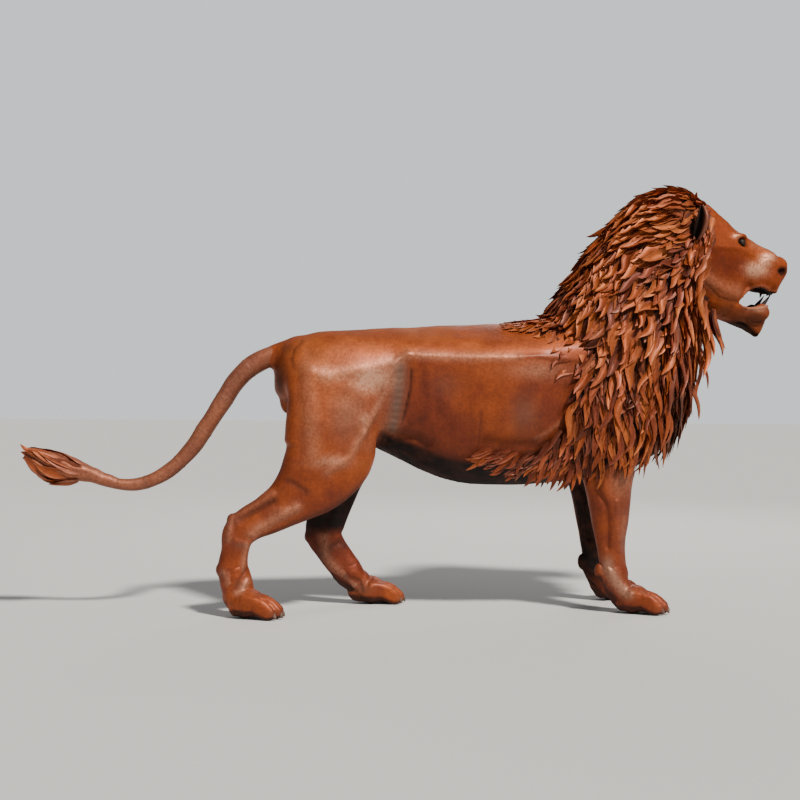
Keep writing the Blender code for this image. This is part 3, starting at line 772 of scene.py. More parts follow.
trunk = fuse(bundle("trunk_skin", grids), voxel=0.0074, rounds=4)
points, normals = vertex_data(trunk)
weight = sum(much * spot(points[:, 0], points[:, 2], *row) for much, *row in RELAXED)
set_points(trunk, relax(trunk, points, np.clip(weight, 0.0, 1.0), rounds=40))
points, normals, masks = dress(trunk, SKIN_STROKES, SKIN_DABS, (0.21, 0.0016, 3), (0.075, 0.0005, 4))
x, y, z = points.T
# painted shade: the underside, a darker low band of the flank, and the sides of the legs that face each
# other
below = underneath(normals, amount=0.95, start=0.50) * np.clip((x + 0.215) / 0.04, 0.45, 1.0)
shade = (0.36 * rise(z, 0.84, -0.22) + 0.20 * rise(z, 0.66, -0.10)) * rise(x, -0.16, 0.08)
deepen(masks, "soot", below, shade, inner_sides(points, normals, low=0.290, high=0.335))
# painted light: where the back faces up, the rust is made brighter
painted_top_light = rise(normals[:, 2], 0.30, 0.3) * (z > 1.04)
set_masks(trunk, tone=tones(points, 5) + 0.35 * painted_top_light, **masks)
finish(trunk, SKIN, ["body"])

# %% [markdown]
# ## Fore legs
# The fore legs come down out of the mane as straight columns with a wrist. They are a skin of their own,
# because the mane's blades cover the place where they join the trunk. A long hollow runs down behind the
# shin bone, and a ground patch shines on the wrist.

# %% Ribs and strokes of the fore legs
FORE = metres([
    (780, 980, 120, 50), (770, 860, 165, 80), (760, 720, 145, 88), (756, 600, 114, 80), (763, 500, 96, 70),
    (769, 390, 78, 59), (776, 280, 61, 49), (782, 210, 56, 47), (789, 150, 59, 49), (799, 90, 44, 42),
])
FORE_SIDE = 0.165
LEFT_AHEAD = 0.022  # the left fore leg is set this much further forward
FORE_STROKES = [
    # the hollow behind the shin bone is darkened as painted shade, and the ridge in front is pale as a
    # painted highlight
    bend("right", 13, -10, [(690, 560), (700, 499), (720, 468), (739, 427), (746, 356),
         (746, 274)], soot=0.25),
    bend("right", 12, 7, [(778, 460), (782, 376), (789, 325), (796, 263)], worn=0.06),
    bend("left", 13, -10, [(722, 499), (742, 468), (761, 427), (768, 356), (768, 274)], soot=0.25),
    bend("left", 12, 7, [(800, 460), (804, 376), (811, 325), (818, 263)], worn=0.06),
]
WRISTS = [  # the ground patch, which runs on from the leg over the paw's edge
    # the right wrist's pale is partly a painted highlight
    dab("right", 750, 195, 22, 36, 0, grey=0.8, worn=0.35), dab("left", 772, 195, 22, 36, 0, grey=0.8),
]
# a dent darkened as painted shade, and pale patches of painted sheen and grey rust on the leg
FORE_DABS = [
    dab("both", 800, 480, 30, 80, -4, soot=0.12), dab("right", 800, 560, 50, 80, 0, worn=0.24, grey=0.3),
    dab("right", 815, 330, 18, 110, 0, worn=0.16, grey=0.2), *WRISTS,
]

# %% Make the fore legs
grids = [loft(FORE, -FORE_SIDE, 120, 56), loft(shifted(FORE, LEFT_AHEAD), FORE_SIDE, 120, 56)]
fore = fuse(bundle("fore_leg_skin", grids), voxel=0.0046, rounds=6)
points, normals, masks = dress(fore, FORE_STROKES, FORE_DABS, (0.17, 0.0018, 13), (0.06, 0.0005, 14))
# painted shade under the legs and on their facing sides
deepen(masks, "soot", underneath(normals), inner_sides(points, normals, low=0.05, high=0.12))
set_masks(fore, tone=tones(points, 15) + 0.50, **masks)
finish(fore, SKIN, ["body"])

# %% [markdown]
# ## Paws and claws
# The paws are made apart and slipped over the ends of the legs like short boots, so a faint edge shows
# where each one is welded on. A paw is a pad, four toes side by side and a swelling at the heel, fused on
# a finer grid than the legs to keep the clefts between the toes. Every toe has a small ground claw.

# %% Ribs and strokes of the paws
PAW = metres([(0, 30, 28, 34), (28, 46, 48, 54), (75, 56, 60, 66), (112, 42, 42, 62), (138, 24, 24, 46)])
TOE = metres([
    (70, 72, 24, 12), (112, 64, 30, 14.5), (148, 49, 35, 16.5), (176, 32, 31, 17.2), (194, 18, 24, 15),
    (203, 10, 12, 8),
])
HEEL_PAD = metres([(780, 165, 54, 49), (797, 120, 56, 53), (820, 75, 52, 55), (845, 35, 45, 56)])
CLAW = metres([(182, 36, 10, 7.5), (198, 27, 10.5, 8.5), (209, 15, 8, 6.2), (214, 6, 2, 2)])
HIND_PAW_SIDE = 0.1575  # a hind paw is set a little further out than its leg
PAW_STROKES = [
    # pale marks on wrist and foot are partly painted highlights, and the dark in the creases is painted
    # shade
    bend("right", 6, 4, [(744, 222), (750, 200), (758, 178)], worn=0.8),
    bend("right", 15, 3, [(758, 172), (785, 128), (822, 88)], grey=0.7, worn=0.45),
    slit("right", 6, -4, [(712, 160), (725, 130), (760, 85), (800, 50)], soot=0.35),
    slit("right", 6, -4, [(-722, 195), (-756, 152), (-776, 110)], soot=0.35),
    bend("right", 8, 4, [(-765, 100), (-745, 110), (-720, 150)], worn=0.35),
    slit("left", 6, -5, [(-275, 120), (-236, 100), (-225, 60)], soot=0.45),
    slit("left", 6, -4, [(734, 160), (747, 130), (782, 85), (822, 50)], soot=0.35),
]
PAW_DABS = [
    *WRISTS, dab("right", -745, 130, 24, 20, 0, grey=0.5),
    dab("left", -230, 70, 50, 30, 0, grey=0.4),
]

# %% Make the paws
def turned(grid, x, y, angle):
    """The grid turned about the upright line through (x, y)."""
    dx, dy = grid[..., 0] - x, grid[..., 1] - y
    way = (x + dx * np.cos(angle) - dy * np.sin(angle), y + dx * np.sin(angle) + dy * np.cos(angle))
    return np.stack([*way, grid[..., 2]], axis=-1)


LEGS = {  # leg: (its rows, its side, its paw's side, its heel, degrees that the paw is turned out)
    "hind_right": (HIND_BACK, -HIND_SIDE, -HIND_PAW_SIDE, -0.785, 16),
    "hind_left": (HIND_FORWARD, HIND_SIDE, HIND_PAW_SIDE, -0.252, 3),
    "fore_right": (FORE, -FORE_SIDE, -FORE_SIDE, 0.802, 20),
    "fore_left": (shifted(FORE, LEFT_AHEAD), FORE_SIDE, FORE_SIDE, 0.815, 12),
}
TOE_STEP = 0.035  # from toe to toe
OUTER_TOE_BACK = 0.020  # the outer two are set back
BOOT_WIDER = (-0.004, 0.002, 0.0)  # how much the boot stands out from the leg's last three ribs
grids, claws = [], []
for name, (rows, y, paw_y, heel, degrees) in LEGS.items():
    boot = [(x, z, r + more, w + more) for (x, z, r, w), more in zip(rows[-3:], BOOT_WIDER)]
    out = math.radians(degrees) * (1 if y > 0 else -1)
    grids += [loft(boot, y, 40, 56), turned(loft(shifted(PAW, heel), paw_y, 40, 40), heel, paw_y, out)]
    for k in (-1.5, -0.5, 0.5, 1.5):
        start, side = heel - (OUTER_TOE_BACK if abs(k) > 1 else 0.0), paw_y + TOE_STEP * k
        grids.append(turned(loft(shifted(TOE, start), side, 28, 24), heel, paw_y, out))
        claws.append(turned(loft(shifted(CLAW, start), side, 14, 12, 2.0), heel, paw_y, out))
    if "fore" in name:
        ahead = LEFT_AHEAD if "left" in name else 0.0
        grids.append(knob((0.728 + ahead, y, 0.170), (0.022, 0.026, 0.036)))  # pad behind the wrist
        grids.append(loft(shifted(HEEL_PAD, ahead), y, 20, 24))
    ankle = 0.5 * (y + paw_y)
    grids.append(knob((heel + 0.018, ankle, 0.085), (0.052, 0.050, 0.062)))
    grids.append(turned(knob((heel + 0.050, ankle, 0.060), (0.070, 0.056, 0.052)), heel, paw_y, out))
grids.append(knob((-0.240, HIND_PAW_SIDE, 0.056), (0.044, 0.044, 0.046)))  # heel of the leg set forward
paws = fuse(bundle("paws_skin", grids), voxel=0.0042, rounds=9)
points, normals, masks = dress(paws, PAW_STROKES, PAW_DABS, (0.08, 0.0010, 17), (0.025, 0.0004, 18))
toe_tips = np.zeros(len(points))
for claw in claws:
    gap = ((points - claw.reshape(-1, 3).mean(axis=0)) / (0.022, 0.014, 0.020)) ** 2
    toe_tips = np.maximum(toe_tips, np.exp(-gap.sum(axis=1)))
deepen(masks, "grey", 0.5 * toe_tips)
# painted shade: the undersides, the facing sides of the fore paws and the soles on the floor
dark = inner_sides(points, normals, low=0.05, high=0.12) * (points[:, 0] > 0.5)
deepen(masks, "soot", underneath(normals), dark, 0.7 * (points[:, 2] < 0.008))
set_masks(paws, tone=tones(points, 15) + 0.40, **masks)
finish(paws, SKIN, ["body"])
for claw in claws:
    claw[..., 2] = np.maximum(claw[..., 2], 0.0)
finish(bundle("claws", claws), CLAWS, ["body"])

# %% [markdown]
# ## Head
# The face is raised from sheet more finely than the body: a flat crown that bends over an edge into the
# cheek plate, a rolled brow over each eye, a long nose, full whisker pads, a round nose with nostrils cut
# under its wings, rolled lips round the open mouth and a square chin. Lumps are added to the skull
# before it is fused, and strokes cut the creases.

# %% Ribs of the skull and the jaw
SKULL = metres([
    (1000, 1630, 1340, 100), (1100, 1708, 1290, 136), (1180, 1732, 1262, 148), (1231, 1724, 1246, 148),
    (1263, 1702, 1238, 147), (1300, 1669, 1238, 142), (1340, 1635, 1256, 129), (1368, 1616, 1300, 115),
    (1388, 1602, 1340, 105), (1420, 1581, 1357, 97), (1455, 1561, 1364, 91), (1500, 1539, 1346, 86),
    (1535, 1520, 1340, 77), (1560, 1506, 1372, 62), (1580, 1490, 1404, 47), (1600, 1466, 1436, 20),
])
JAW = metres([
    (1120, 1400, 1262, 100), (1220, 1375, 1245, 114), (1292, 1345, 1232, 108), (1337, 1318, 1219, 100),
    (1375, 1297, 1204, 91), (1419, 1284, 1186, 80), (1447, 1284, 1168, 73), (1467, 1290, 1157, 66),
    (1485, 1299, 1180, 55), (1500, 1305, 1222, 42), (1514, 1306, 1270, 20),
])

# %% Strokes of the head
HEAD_STROKES = [
    # the edge where the temple bends over into the cheek plate, and its step down to the muzzle
    bend("both", 16, 6, [(1140, 1524), (1220, 1527), (1310, 1529), (1355, 1522), (1400, 1508)]),
    bend("both", 22, -5, [(1180, 1620), (1260, 1600), (1310, 1575)]),
    # the line below the cheek, from which the jaw turns under; its dark line is painted shade
    slit("both", 7, -4, [(1180, 1372), (1210, 1350), (1245, 1318), (1296, 1303), (1350, 1300)], soot=0.3),
    bend("both", 24, 6, [(1180, 1392), (1225, 1366), (1270, 1345), (1325, 1338)], worn=0.22),
    # rolled lips; the pale on the lower lip is a painted highlight
    bend("both", 6, 4, [(1364, 1300), (1368, 1330), (1388, 1352), (1423, 1368), (1456, 1373), (1480, 1365),
         (1510, 1352), (1545, 1352)], worn=0.12),
    bend("both", 6, 5, [(1366, 1296), (1380, 1282), (1400, 1274), (1430, 1273), (1458, 1277), (1490, 1288),
         (1510, 1296)], worn=0.5),
    # nose: the crease behind its wing and the bridge; the dark in the crease is painted shade and the pale
    # on the bridge a painted highlight
    slit("both", 10, -3, [(1524, 1492), (1529, 1471), (1537, 1450)], soot=0.12),
    bend("both", 12, 4, [(1420, 1548), (1470, 1530), (1520, 1508)], worn=0.15),
    bend("both", 14, -4, [(1395, 1528), (1430, 1508), (1470, 1498)]),
    bend("both", 10, 4, [(1300, 1245), (1360, 1225), (1410, 1204), (1450, 1186)]),
]
# pale patches on the whisker pad, nose bridge, brow and lower lip are painted highlights; dark patches on
# the cheek and under the jaw and chin are painted shade, with grey rust under the jaw
HEAD_DABS = [
    dab("both", 1255, 1462, 85, 58, -4, soot=0.05), dab("both", 1420, 1438, 48, 28, 6, worn=1.25),
    dab("both", 1462, 1470, 30, 22, 2, worn=1.1), dab("both", 1484, 1496, 36, 16, 3, worn=1.25),
    dab("both", 1335, 1580, 18, 10, 2, worn=0.65), dab("both", 1440, 1268, 34, 9, 0, worn=0.5),
    dab("both", 1390, 1225, 120, 45, 0, soot=0.45, grey=0.45),
    dab("both", 1290, 1250, 60, 40, 0, soot=0.35, grey=0.35),
    dab("both", 1470, 1215, 50, 35, 0, soot=0.25, grey=0.25),
    dab("both", 1260, 1420, 110, 90, 0, soot=0.12),
]


# %% Make the head
def narrowed(grid, lines):
    """Draws the head in sideways above or below sloping lines: each (x1, z1, x2, z2, height, share) takes
    the share off the width over the height, and a height below zero works downwards."""
    x, z = grid[..., 0], grid[..., 2]
    shrink = np.ones_like(x)
    for x1, z1, x2, z2, height, share in lines:
        t = rise(z, z1 + (z2 - z1) * rise(x, x1, x2 - x1), height)
        shrink = shrink * (1 - share * t * (2 - t))
    grid[..., 1] *= shrink
    return grid


MUZZLE_LINES = [(1.34, 1.530, 1.56, 1.460, 0.16, 0.34)]
CHIN_LINES = [(1.20, 1.300, 1.50, 1.265, -0.12, 0.45)]
MOUTH = metres([
    (1353, 1298), (1360, 1312), (1378, 1333), (1412, 1354), (1450, 1364), (1490, 1356), (1520, 1347),
    (1570, 1347), (1640, 1350), (1640, 1314), (1560, 1312), (1500, 1309), (1470, 1302), (1448, 1291),
    (1424, 1281), (1398, 1277), (1372, 1284),
])
LUMPS = metres([  # centre x, y, z and the radii, the same on both sides
    (1350, 66, 1578, 44, 30, 24),  # brow
    (1376, 64, 1579, 21, 22, 18),  # its front end
    (1450, 48, 1415, 92, 48, 72),  # whisker pad
    (1546, 30, 1458, 36, 26, 28),  # wing of the nose
    (1270, 92, 1420, 105, 50, 90),  # cheek
    (1355, 60, 1318, 62, 34, 70),  # corner of the mouth
    (1440, 44, 1262, 70, 34, 46),  # lower lip
])
grids = [narrowed(loft(SKULL, along=140, around=96, power=2.6, kind="upright"), MUZZLE_LINES)]
grids.append(narrowed(loft(JAW, along=90, around=80, power=2.6, kind="upright"), CHIN_LINES))
for side in (-1, 1):
    grids += [knob((x, side * y, z), radii) for x, y, z, *radii in LUMPS]
grids.append(knob((1.553, 0.0, 1.468), (0.049, 0.052, 0.044)))  # ball of the nose
head = fuse(bundle("head_skin", grids), voxel=0.0050, rounds=5)
carve(head, prism("mouth_cutter", MOUTH, 0.25))
carve(head, bundle("cavity_cutter", [knob((1.452, 0.0, 1.322), (0.078, 0.056, 0.058))]))
fuse(head, voxel=0.0034, rounds=3)
points, normals = vertex_data(head)
points, masks = work(points, normals, HEAD_STROKES, HEAD_DABS)

# %% Sockets, nostrils, whisker pads and the dark of the mouth
socket = bell(points, (1.366, 0.082, 1.554), (0.020, 0.030, 0.017))
nostril = bell(points, (1.558, 0.048, 1.438), (0.033, 0.026, 0.015))
pad = bell(points, (1.432, 0.09, 1.448), (0.06, 0.2, 0.05))
bridge = bell(points, (1.48, 0.08, 1.494), (0.05, 0.2, 0.03))
dents = hammered(points, 0.11, 0.0016, 23) + hammered(points, 0.035, 0.0006, 24)
dents += hammered(points, 0.015, 0.0004, 25) * np.minimum(1.4 * np.maximum(pad, bridge), 1.0)
dents -= 0.022 * np.minimum(1.3 * socket, 1.0) + 0.020 * np.minimum(1.4 * nostril, 1.0)
points = points + normals * dents[:, None]
set_points(head, points)
x, y, z = points.T
across = np.abs(normals[:, 1])
# painted shade: the inside of the mouth, the eye sockets, the nostrils and the underside of the chin
inside_mouth = (x > 1.36) & (x < 1.54) & (z > 1.255) & (z < 1.385) & (normals[:, 0] < 0.30)
inside_mouth &= (np.abs(y) < 0.058) | ((across < 0.30) & (z > 1.276) & (z < 1.367))
dark = np.clip(np.maximum(1.7 * socket, 3.0 * nostril), 0.0, 1.0)
chin = underneath(normals, amount=0.9, start=0.50) * rise(z, 1.235, -0.02)
deepen(masks, "soot", 0.94 * inside_mouth, dark, chin)
tone = 0.05 + 0.30 * np.clip((z - 1.5) / 0.1, -0.6, 0.4) + hammered(points, 0.3, 0.2, 6)
# the cheek plate is darkened as painted shade
tone -= 0.40 * bell(points, (1.260, 0.13, 1.460), (0.095, 0.2, 0.060))
muzzle = bell(points, (1.44, 0.07, 1.46), (0.075, 0.2, 0.060))
brow = bell(points, (1.34, 0.07, 1.58), (0.03, 0.2, 0.03))
dull = 1.0 - np.minimum(1.3 * np.maximum(muzzle, brow), 1.0)
set_masks(head, tone=tone + 0.25, dull=dull, **masks)
finish(head, FACE, ["body"])

# %% [markdown]
# ## Eyes, teeth and ears
# The eye is a dark ball deep under the brow. The four canines are long cones of dark steel, bent back a
# little, with small incisors between the upper ones. An ear is a leaf of sheet hammered into a cup, with
# its hollow towards the side, and it is half buried in the mane.

# %% Eyes and teeth
UPPER_CANINE = metres([
    (1510, 1392, 12, 10), (1511, 1366, 10.5, 9), (1509, 1352, 7.2, 6.5), (1507, 1340, 4.2, 3.8),
    (1504, 1330, 1, 1),
])
LOWER_CANINE = metres([
    (1472, 1276, 12, 10), (1484, 1296, 9.5, 9), (1497, 1312, 6.8, 6.4), (1508, 1326, 4, 3.8),
    (1518, 1340, 1, 1),
])
INCISOR = metres([(1534, 1364, 7, 6.5), (1531, 1352, 5.8, 5.5), (1527, 1344, 3.6, 3.4), (1522, 1338, 1, 1)])
SIDES = ((-1, "right"), (1, "left"))
for side, word in SIDES:
    ball = knob((1.366, side * 0.072, 1.554), (0.018, 0.018, 0.018), 20, 28)
    finish(bundle("eyeball_" + word, [ball]), DARK, ["eye_" + word])
    for jaw, rows, y in (("upper", UPPER_CANINE, 0.048), ("lower", LOWER_CANINE, 0.034)):
        tooth = bundle(f"{jaw}_canine_tooth_{word}", [loft(rows, side * y, 18, 16, 2.0)])
        finish(tooth, DARK, [f"{jaw}_canine_{word}"])
incisors = [loft(INCISOR, y, 14, 12, 2.0) for y in (-0.024, -0.009, 0.009, 0.024)]
finish(bundle("incisors", incisors), DARK, ["body"])

# %% Ears
EAR_SECTION = metres([  # (along the head, outwards): a sheet rolled over in front, then the hollow
    (12, -10), (26, -4), (33, 8), (32, 20), (24, 28), (14, 28), (7, 20), (3, 6), (-4, -8), (-14, -14),
    (-24, -10), (-31, 2), (-36, 18),
])
EAR_SHEET = 0.004  # its thickness
line = smooth_rows(EAR_SECTION, 33)
up = np.linspace(0.0, 1.0, 26)[:, None]
grow = np.sin(math.pi * (0.13 + 0.85 * up)) ** 0.6
for side, word in SIDES:  # it leans forwards and outwards as it rises
    x = 1.136 + 0.034 * up - 0.014 * up**3 + line[None, :, 0] * grow * 0.76
    outward = 0.142 + 0.022 * np.sin(math.pi * up * 0.8) + line[None, :, 1] * grow
    sheet = np.stack([x, side * outward, 1.553 + 0.143 * up + 0 * x], axis=-1)
    numbers = np.arange(x.size).reshape(x.shape)
    ear = make_object("ear_leaf_" + word, sheet, quads(numbers), outwards=False)
    thick = ear.modifiers.new("sheet", "SOLIDIFY")
    thick.thickness, thick.offset, thick.use_rim = EAR_SHEET, 0.0, True
    settle(ear)
    lane = np.resize(np.tile(line[:, 0], len(up)), len(ear.data.vertices))  # the same on both faces
    rolled = rise(lane, 0.004, 0.010)
    # the hollow is blackened as painted shade; the rolled rim is grey-brown and a little worn
    set_masks(ear, tone=-0.3 * rolled, worn=0.08 * rolled, soot=0.97 * (1 - rolled), grey=0.35 * rolled)
    finish(ear, BLADE, ["ear_" + word])

# %% [markdown]
# ## Tail
# The tail is a rolled tube, hanging and then lifting towards its tuft. Its sections go round a curved
# path, and short overlapping welds leave faint rings on it.

# %% Make the tail
TAIL = metres([
    (-500, 1072, 44, 42), (-580, 1058, 43, 41), (-650, 1034, 42, 40), (-722, 990, 41, 40),
    (-770, 938, 39, 38), (-822, 856, 37, 36), (-878, 766, 35, 34), (-942, 668, 33, 33),
    (-1014, 592, 30, 30), (-1096, 538, 27, 27), (-1190, 515, 24, 24), (-1270, 526, 23, 23),
    (-1330, 550, 25, 25), (-1370, 562, 22, 22),
])
TAIL_RIBS, TAIL_AROUND = 220, 40
tail = bundle("tail_tube", [loft(TAIL, 0.0, TAIL_RIBS, TAIL_AROUND, 2.05)])
points, normals = vertex_data(tail)
run = np.repeat(np.linspace(0.0, 1.35, TAIL_RIBS), TAIL_AROUND)
rings = np.exp(-(((run % 0.19) - 0.095) / 0.004) ** 2)  # a weld every 190 mm
points = points + normals * (hammered(points, 0.09, 0.0012, 33) + 0.0016 * rings)[:, None]
set_points(tail, points)
# painted light and shade: brighter where the tail faces up, darker where it faces down
set_masks(tail, tone=0.05 + 0.3 * normals[:, 2], worn=0.16 + 0.14 * rings, grey=0.25 + 0 * rings,
          soot=0.25 * rings * (points[:, 2] < 1.1))
finish(tail, SKIN, ["tail"])

# %% [markdown]
# ## The mane: a chart for combing
# Each blade of the mane is a narrow leaf cut from sheet, cupped along its length, twisted so one edge
# stands up, and welded on by its root over the one below. How the blades lie changes over the mane: long
# and level on the crown, waved and sloping on the neck, straight down on the breast, and swept back like
# a feather in the fringe under the belly. A chart gives that at a few places, and every blade asks
# the chart's nearest rows, weighted by distance.
# Rows are (x, z, fall, length, width, lift) in millimetres, and the fall in degrees: 0 is straight
# back, 90 straight down. The zone is the outline on the lion's side within which blades are rooted.

# %% The chart and the zone
CHART = np.array([
    (1140, 1760, -4, 105, 36, 26), (1020, 1760, 8, 150, 50, 26), (920, 1720, 24, 145, 48, 28),
    (1050, 1660, 4, 160, 46, 32), (1100, 1570, 10, 115, 42, 30), (850, 1620, 34, 140, 44, 34),
    (970, 1600, 14, 160, 48, 32), (740, 1500, 46, 125, 38, 32), (620, 1360, 47, 120, 36, 32),
    (500, 1250, 34, 100, 30, 12), (360, 1190, 12, 75, 20, 3), (980, 1480, 26, 150, 48, 36),
    (1120, 1470, 30, 105, 40, 32), (1140, 1370, 58, 120, 38, 32), (1150, 1280, 78, 160, 36, 34),
    (1180, 1140, 90, 190, 34, 34), (1000, 1340, 46, 150, 48, 38), (840, 1420, 44, 145, 46, 36),
    (840, 1260, 56, 150, 46, 38), (960, 1200, 66, 165, 42, 38), (1060, 1100, 84, 212, 30, 34),
    (950, 1000, 82, 212, 30, 34), (1100, 950, 92, 212, 28, 34), (1000, 780, 88, 201, 28, 30),
    (900, 680, 76, 170, 26, 30), (850, 880, 80, 196, 30, 34), (700, 1120, 56, 150, 44, 36),
    (600, 1180, 50, 130, 40, 34), (500, 1100, 50, 115, 36, 28), (620, 960, 64, 148, 33, 34),
    (660, 820, 68, 159, 28, 32), (760, 760, 78, 175, 28, 32), (790, 660, 86, 148, 25, 26),
    (250, 640, 22, 85, 20, 12), (360, 640, 34, 100, 21, 14), (470, 660, 48, 115, 22, 18),
    (560, 720, 60, 115, 23, 20), (630, 640, 74, 110, 21, 20), (520, 600, 58, 110, 22, 18),
    (1180, 1735, 20, 60, 26, 20), (1190, 1660, 72, 85, 30, 10), (1190, 1570, 68, 90, 32, 12),
    (1180, 1460, 62, 85, 28, 20),
]) / (1000, 1000, 1, 1000, 1000, 1000)
ZONE = metres([
    (1185, 1860), (1222, 1735), (1222, 1655), (1212, 1551), (1190, 1384), (1200, 1300), (1215, 1230),
    (1220, 1100), (1192, 950), (1156, 850), (1108, 712), (1030, 640), (920, 612), (830, 600), (740, 590),
    (660, 540), (580, 495), (500, 525), (400, 535), (280, 570), (165, 600), (165, 655), (214, 684),
    (300, 675), (437, 670), (494, 706), (530, 757), (592, 800), (615, 840), (575, 930), (530, 1000),
    (478, 1055), (430, 1108), (390, 1140), (335, 1168), (330, 1250), (500, 1360), (700, 1620), (900, 1860),
])


def chart_at(x, z):
    """Fall (radians), length, width and lift at each place: the rows' mean, weighted by 1 / distance^4.
    On the neck the blades are a seventh smaller than the rows say."""
    apart = (x[:, None] - CHART[:, 0]) ** 2 + (z[:, None] - CHART[:, 1]) ** 2
    weight = 1.0 / (apart + 0.0008) ** 2
    weight /= weight.sum(axis=1)[:, None]
    fall, length, width, lift = (weight @ CHART[:, 2:]).T
    finer = 1.0 - 0.14 * rise(z, 1.05, 0.15)
    return np.radians(fall), length * finer, width * finer, lift


def in_zone(x, z):
    """True where a level line from the place to the nose crosses the zone's outline an odd number of
    times, which is where the place lies inside it."""
    odd = np.zeros(len(x), bool)
    for (ax, az), (bx, bz) in zip(ZONE, ZONE[1:] + ZONE[:1]):
        odd ^= ((az > z) != (bz > z)) & (x < (bx - ax) * (z - az) / (bz - az + 1e-12) + ax)
    return odd


def unit(v):
    """Each vector at length 1."""
    return v / (np.linalg.norm(v, axis=-1, keepdims=True) + 1e-12)


# %% [markdown]
# ## The backing under the blades
# The blades are welded to a dark backing: the mass of the mane, the shoulders and the base of the
# fringe. It only shows in the gaps, so it is one fused form coloured near black as painted shade. A second
# form, never shown, also takes in the head, the trunk and the legs: the blades are combed over that.

# %% Make the backing and the combing form
MANE = metres([
    (600, 900, 720, 160), (650, 995, 670, 215), (750, 1080, 640, 248), (850, 1120, 635, 260),
    (950, 1140, 620, 266), (1050, 1160, 580, 265), (1150, 1172, 520, 260), (1250, 1172, 552, 248),
    (1350, 1170, 625, 230), (1450, 1168, 690, 210), (1550, 1172, 765, 188), (1650, 1178, 850, 162),
    (1718, 1175, 912, 130), (1754, 1155, 980, 85), (1772, 1120, 1040, 35),
])
SHOULDER = metres([
    (800, 1060, 175, 62), (785, 920, 215, 82), (770, 800, 205, 90), (762, 700, 170, 86),
    (775, 625, 110, 76),
])
SHOULDER_SIDE = 0.185
FRINGE = metres([
    (170, 645, 628, 8), (260, 655, 600, 14), (400, 662, 580, 18), (500, 685, 575, 20), (600, 740, 580, 24),
    (700, 800, 600, 24),
])
FRINGE_SIDE = 0.200
backing_grids = [loft(MANE, along=90, around=80, kind="level")]
for side in (-1, 1):
    backing_grids.append(loft(SHOULDER, side * SHOULDER_SIDE, 50, 48))
    backing_grids.append(loft(FRINGE, side * FRINGE_SIDE, 40, 24, kind="upright"))
backing = fuse(bundle("mane_backing", backing_grids), voxel=0.011, rounds=6)
finish(backing, CORE, ["mane"])

form_grids = backing_grids + [
    loft(TRUNK, along=80, around=60, power=2.35, kind="upright"),
    loft(SKULL, along=60, around=60, power=2.3, kind="upright"),
    loft(JAW, along=50, around=40, power=2.3, kind="upright"),
    loft(FORE, -FORE_SIDE, 60, 40),
    loft(shifted(FORE, LEFT_AHEAD), FORE_SIDE, 60, 40),
]
combing = fuse(bundle("combing_form", form_grids), voxel=0.013, rounds=10)
FORM_POINTS, FORM_NORMALS = vertex_data(combing)
FORM_QUADS = np.array([list(p.vertices) for p in combing.data.polygons if len(p.vertices) == 4])
bpy.data.objects.remove(combing)
print("combing form:", len(FORM_POINTS), "points")


# %% [markdown]
# ## Where the blades are rooted
# A smith fits each blade beside the last, so roots are never closer than a blade's width, nor in step.
# Random places on the form are taken one at a time, and one is kept only if no kept root is
# nearer than most of a blade's width across the fall or a part of its length along it.


# %% Choose the roots
def lie(places, normals, fall):
    """The way the fall points on the surface: (-cos, 0, -sin) of the fall, made square to the normal."""
    pull = np.stack([-np.cos(fall), 0 * fall, -np.sin(fall)], axis=-1)
    pull[:, 1] += 0.12 * np.clip(places[:, 1] / 0.08, -1.0, 1.0)  # a little out, away from the parting
    return unit(pull - normals * (pull * normals).sum(axis=1)[:, None])


TRIES = 30000  # random places tried for a layer of blades


def choose_roots(seed, along_share, across_share):
    """Picks points of the combing form inside the zone, where the tip stays inside it too. A kept root has
    to be outside an egg round each one before it: a share of the blade's length along the fall, a share
    of its width across it, and 50 mm off the form."""
    draw = np.random.default_rng(seed)
    pick = FORM_QUADS[draw.integers(0, len(FORM_QUADS), TRIES)]
    mix = draw.dirichlet((1, 1, 1, 1), TRIES)[..., None]
    places = (FORM_POINTS[pick] * mix).sum(axis=1)
    normals = unit((FORM_NORMALS[pick] * mix).sum(axis=1))
    x, y, z = places.T
    fall, length, width = chart_at(x, z)[:3]
    good = in_zone(x, z) & in_zone(x - 0.8 * length * np.cos(fall), z - 0.8 * length * np.sin(fall))
    good &= (np.abs(y) > 0.002) & ((normals[:, 2] > -0.55) | (z > 0.9))
    good &= ~((x > 1.124) & (x < 1.172) & (z > 1.575) & (z < 1.685))  # room for the ear
    good &= ~((z < 0.70) & (np.abs(y) < 0.17) & (x < 0.72))  # none under the belly
    places, normals, width, length = places[good], normals[good], width[good], length[good]
    flow = lie(places, normals, fall[good])
    cross = np.cross(normals, flow)
    kept = []
    for k in range(len(places)):
        if kept:
            gap = places[kept] - places[k]
            measure = (gap @ flow[k] / (along_share * length[k])) ** 2
            measure += (gap @ cross[k] / (across_share * width[k])) ** 2
            measure += (gap @ normals[k] / 0.05) ** 2
            if measure.min() < 1.0:
                continue
        kept.append(k)
    return places[kept], normals[kept]


# %% Move the roots into rows
FACE_EDGE = metres([(1180, 1740), (1158, 1600), (1168, 1400), (1205, 1270)])
ROW_STEP = 0.098  # between the rows of welded roots, counted back from the face
FORM_SQUARES = (FORM_POINTS**2).sum(axis=1)


def nearest_on_form(places):
    """The form's nearest point to each place, and its normal. The squared distance to a point is
    point^2 - 2 place . point, and place^2, which is the same for every point and left out."""
    nearest = np.argmin(FORM_SQUARES[None, :] - 2 * places @ FORM_POINTS.T, axis=1)
    return FORM_POINTS[nearest], FORM_NORMALS[nearest]


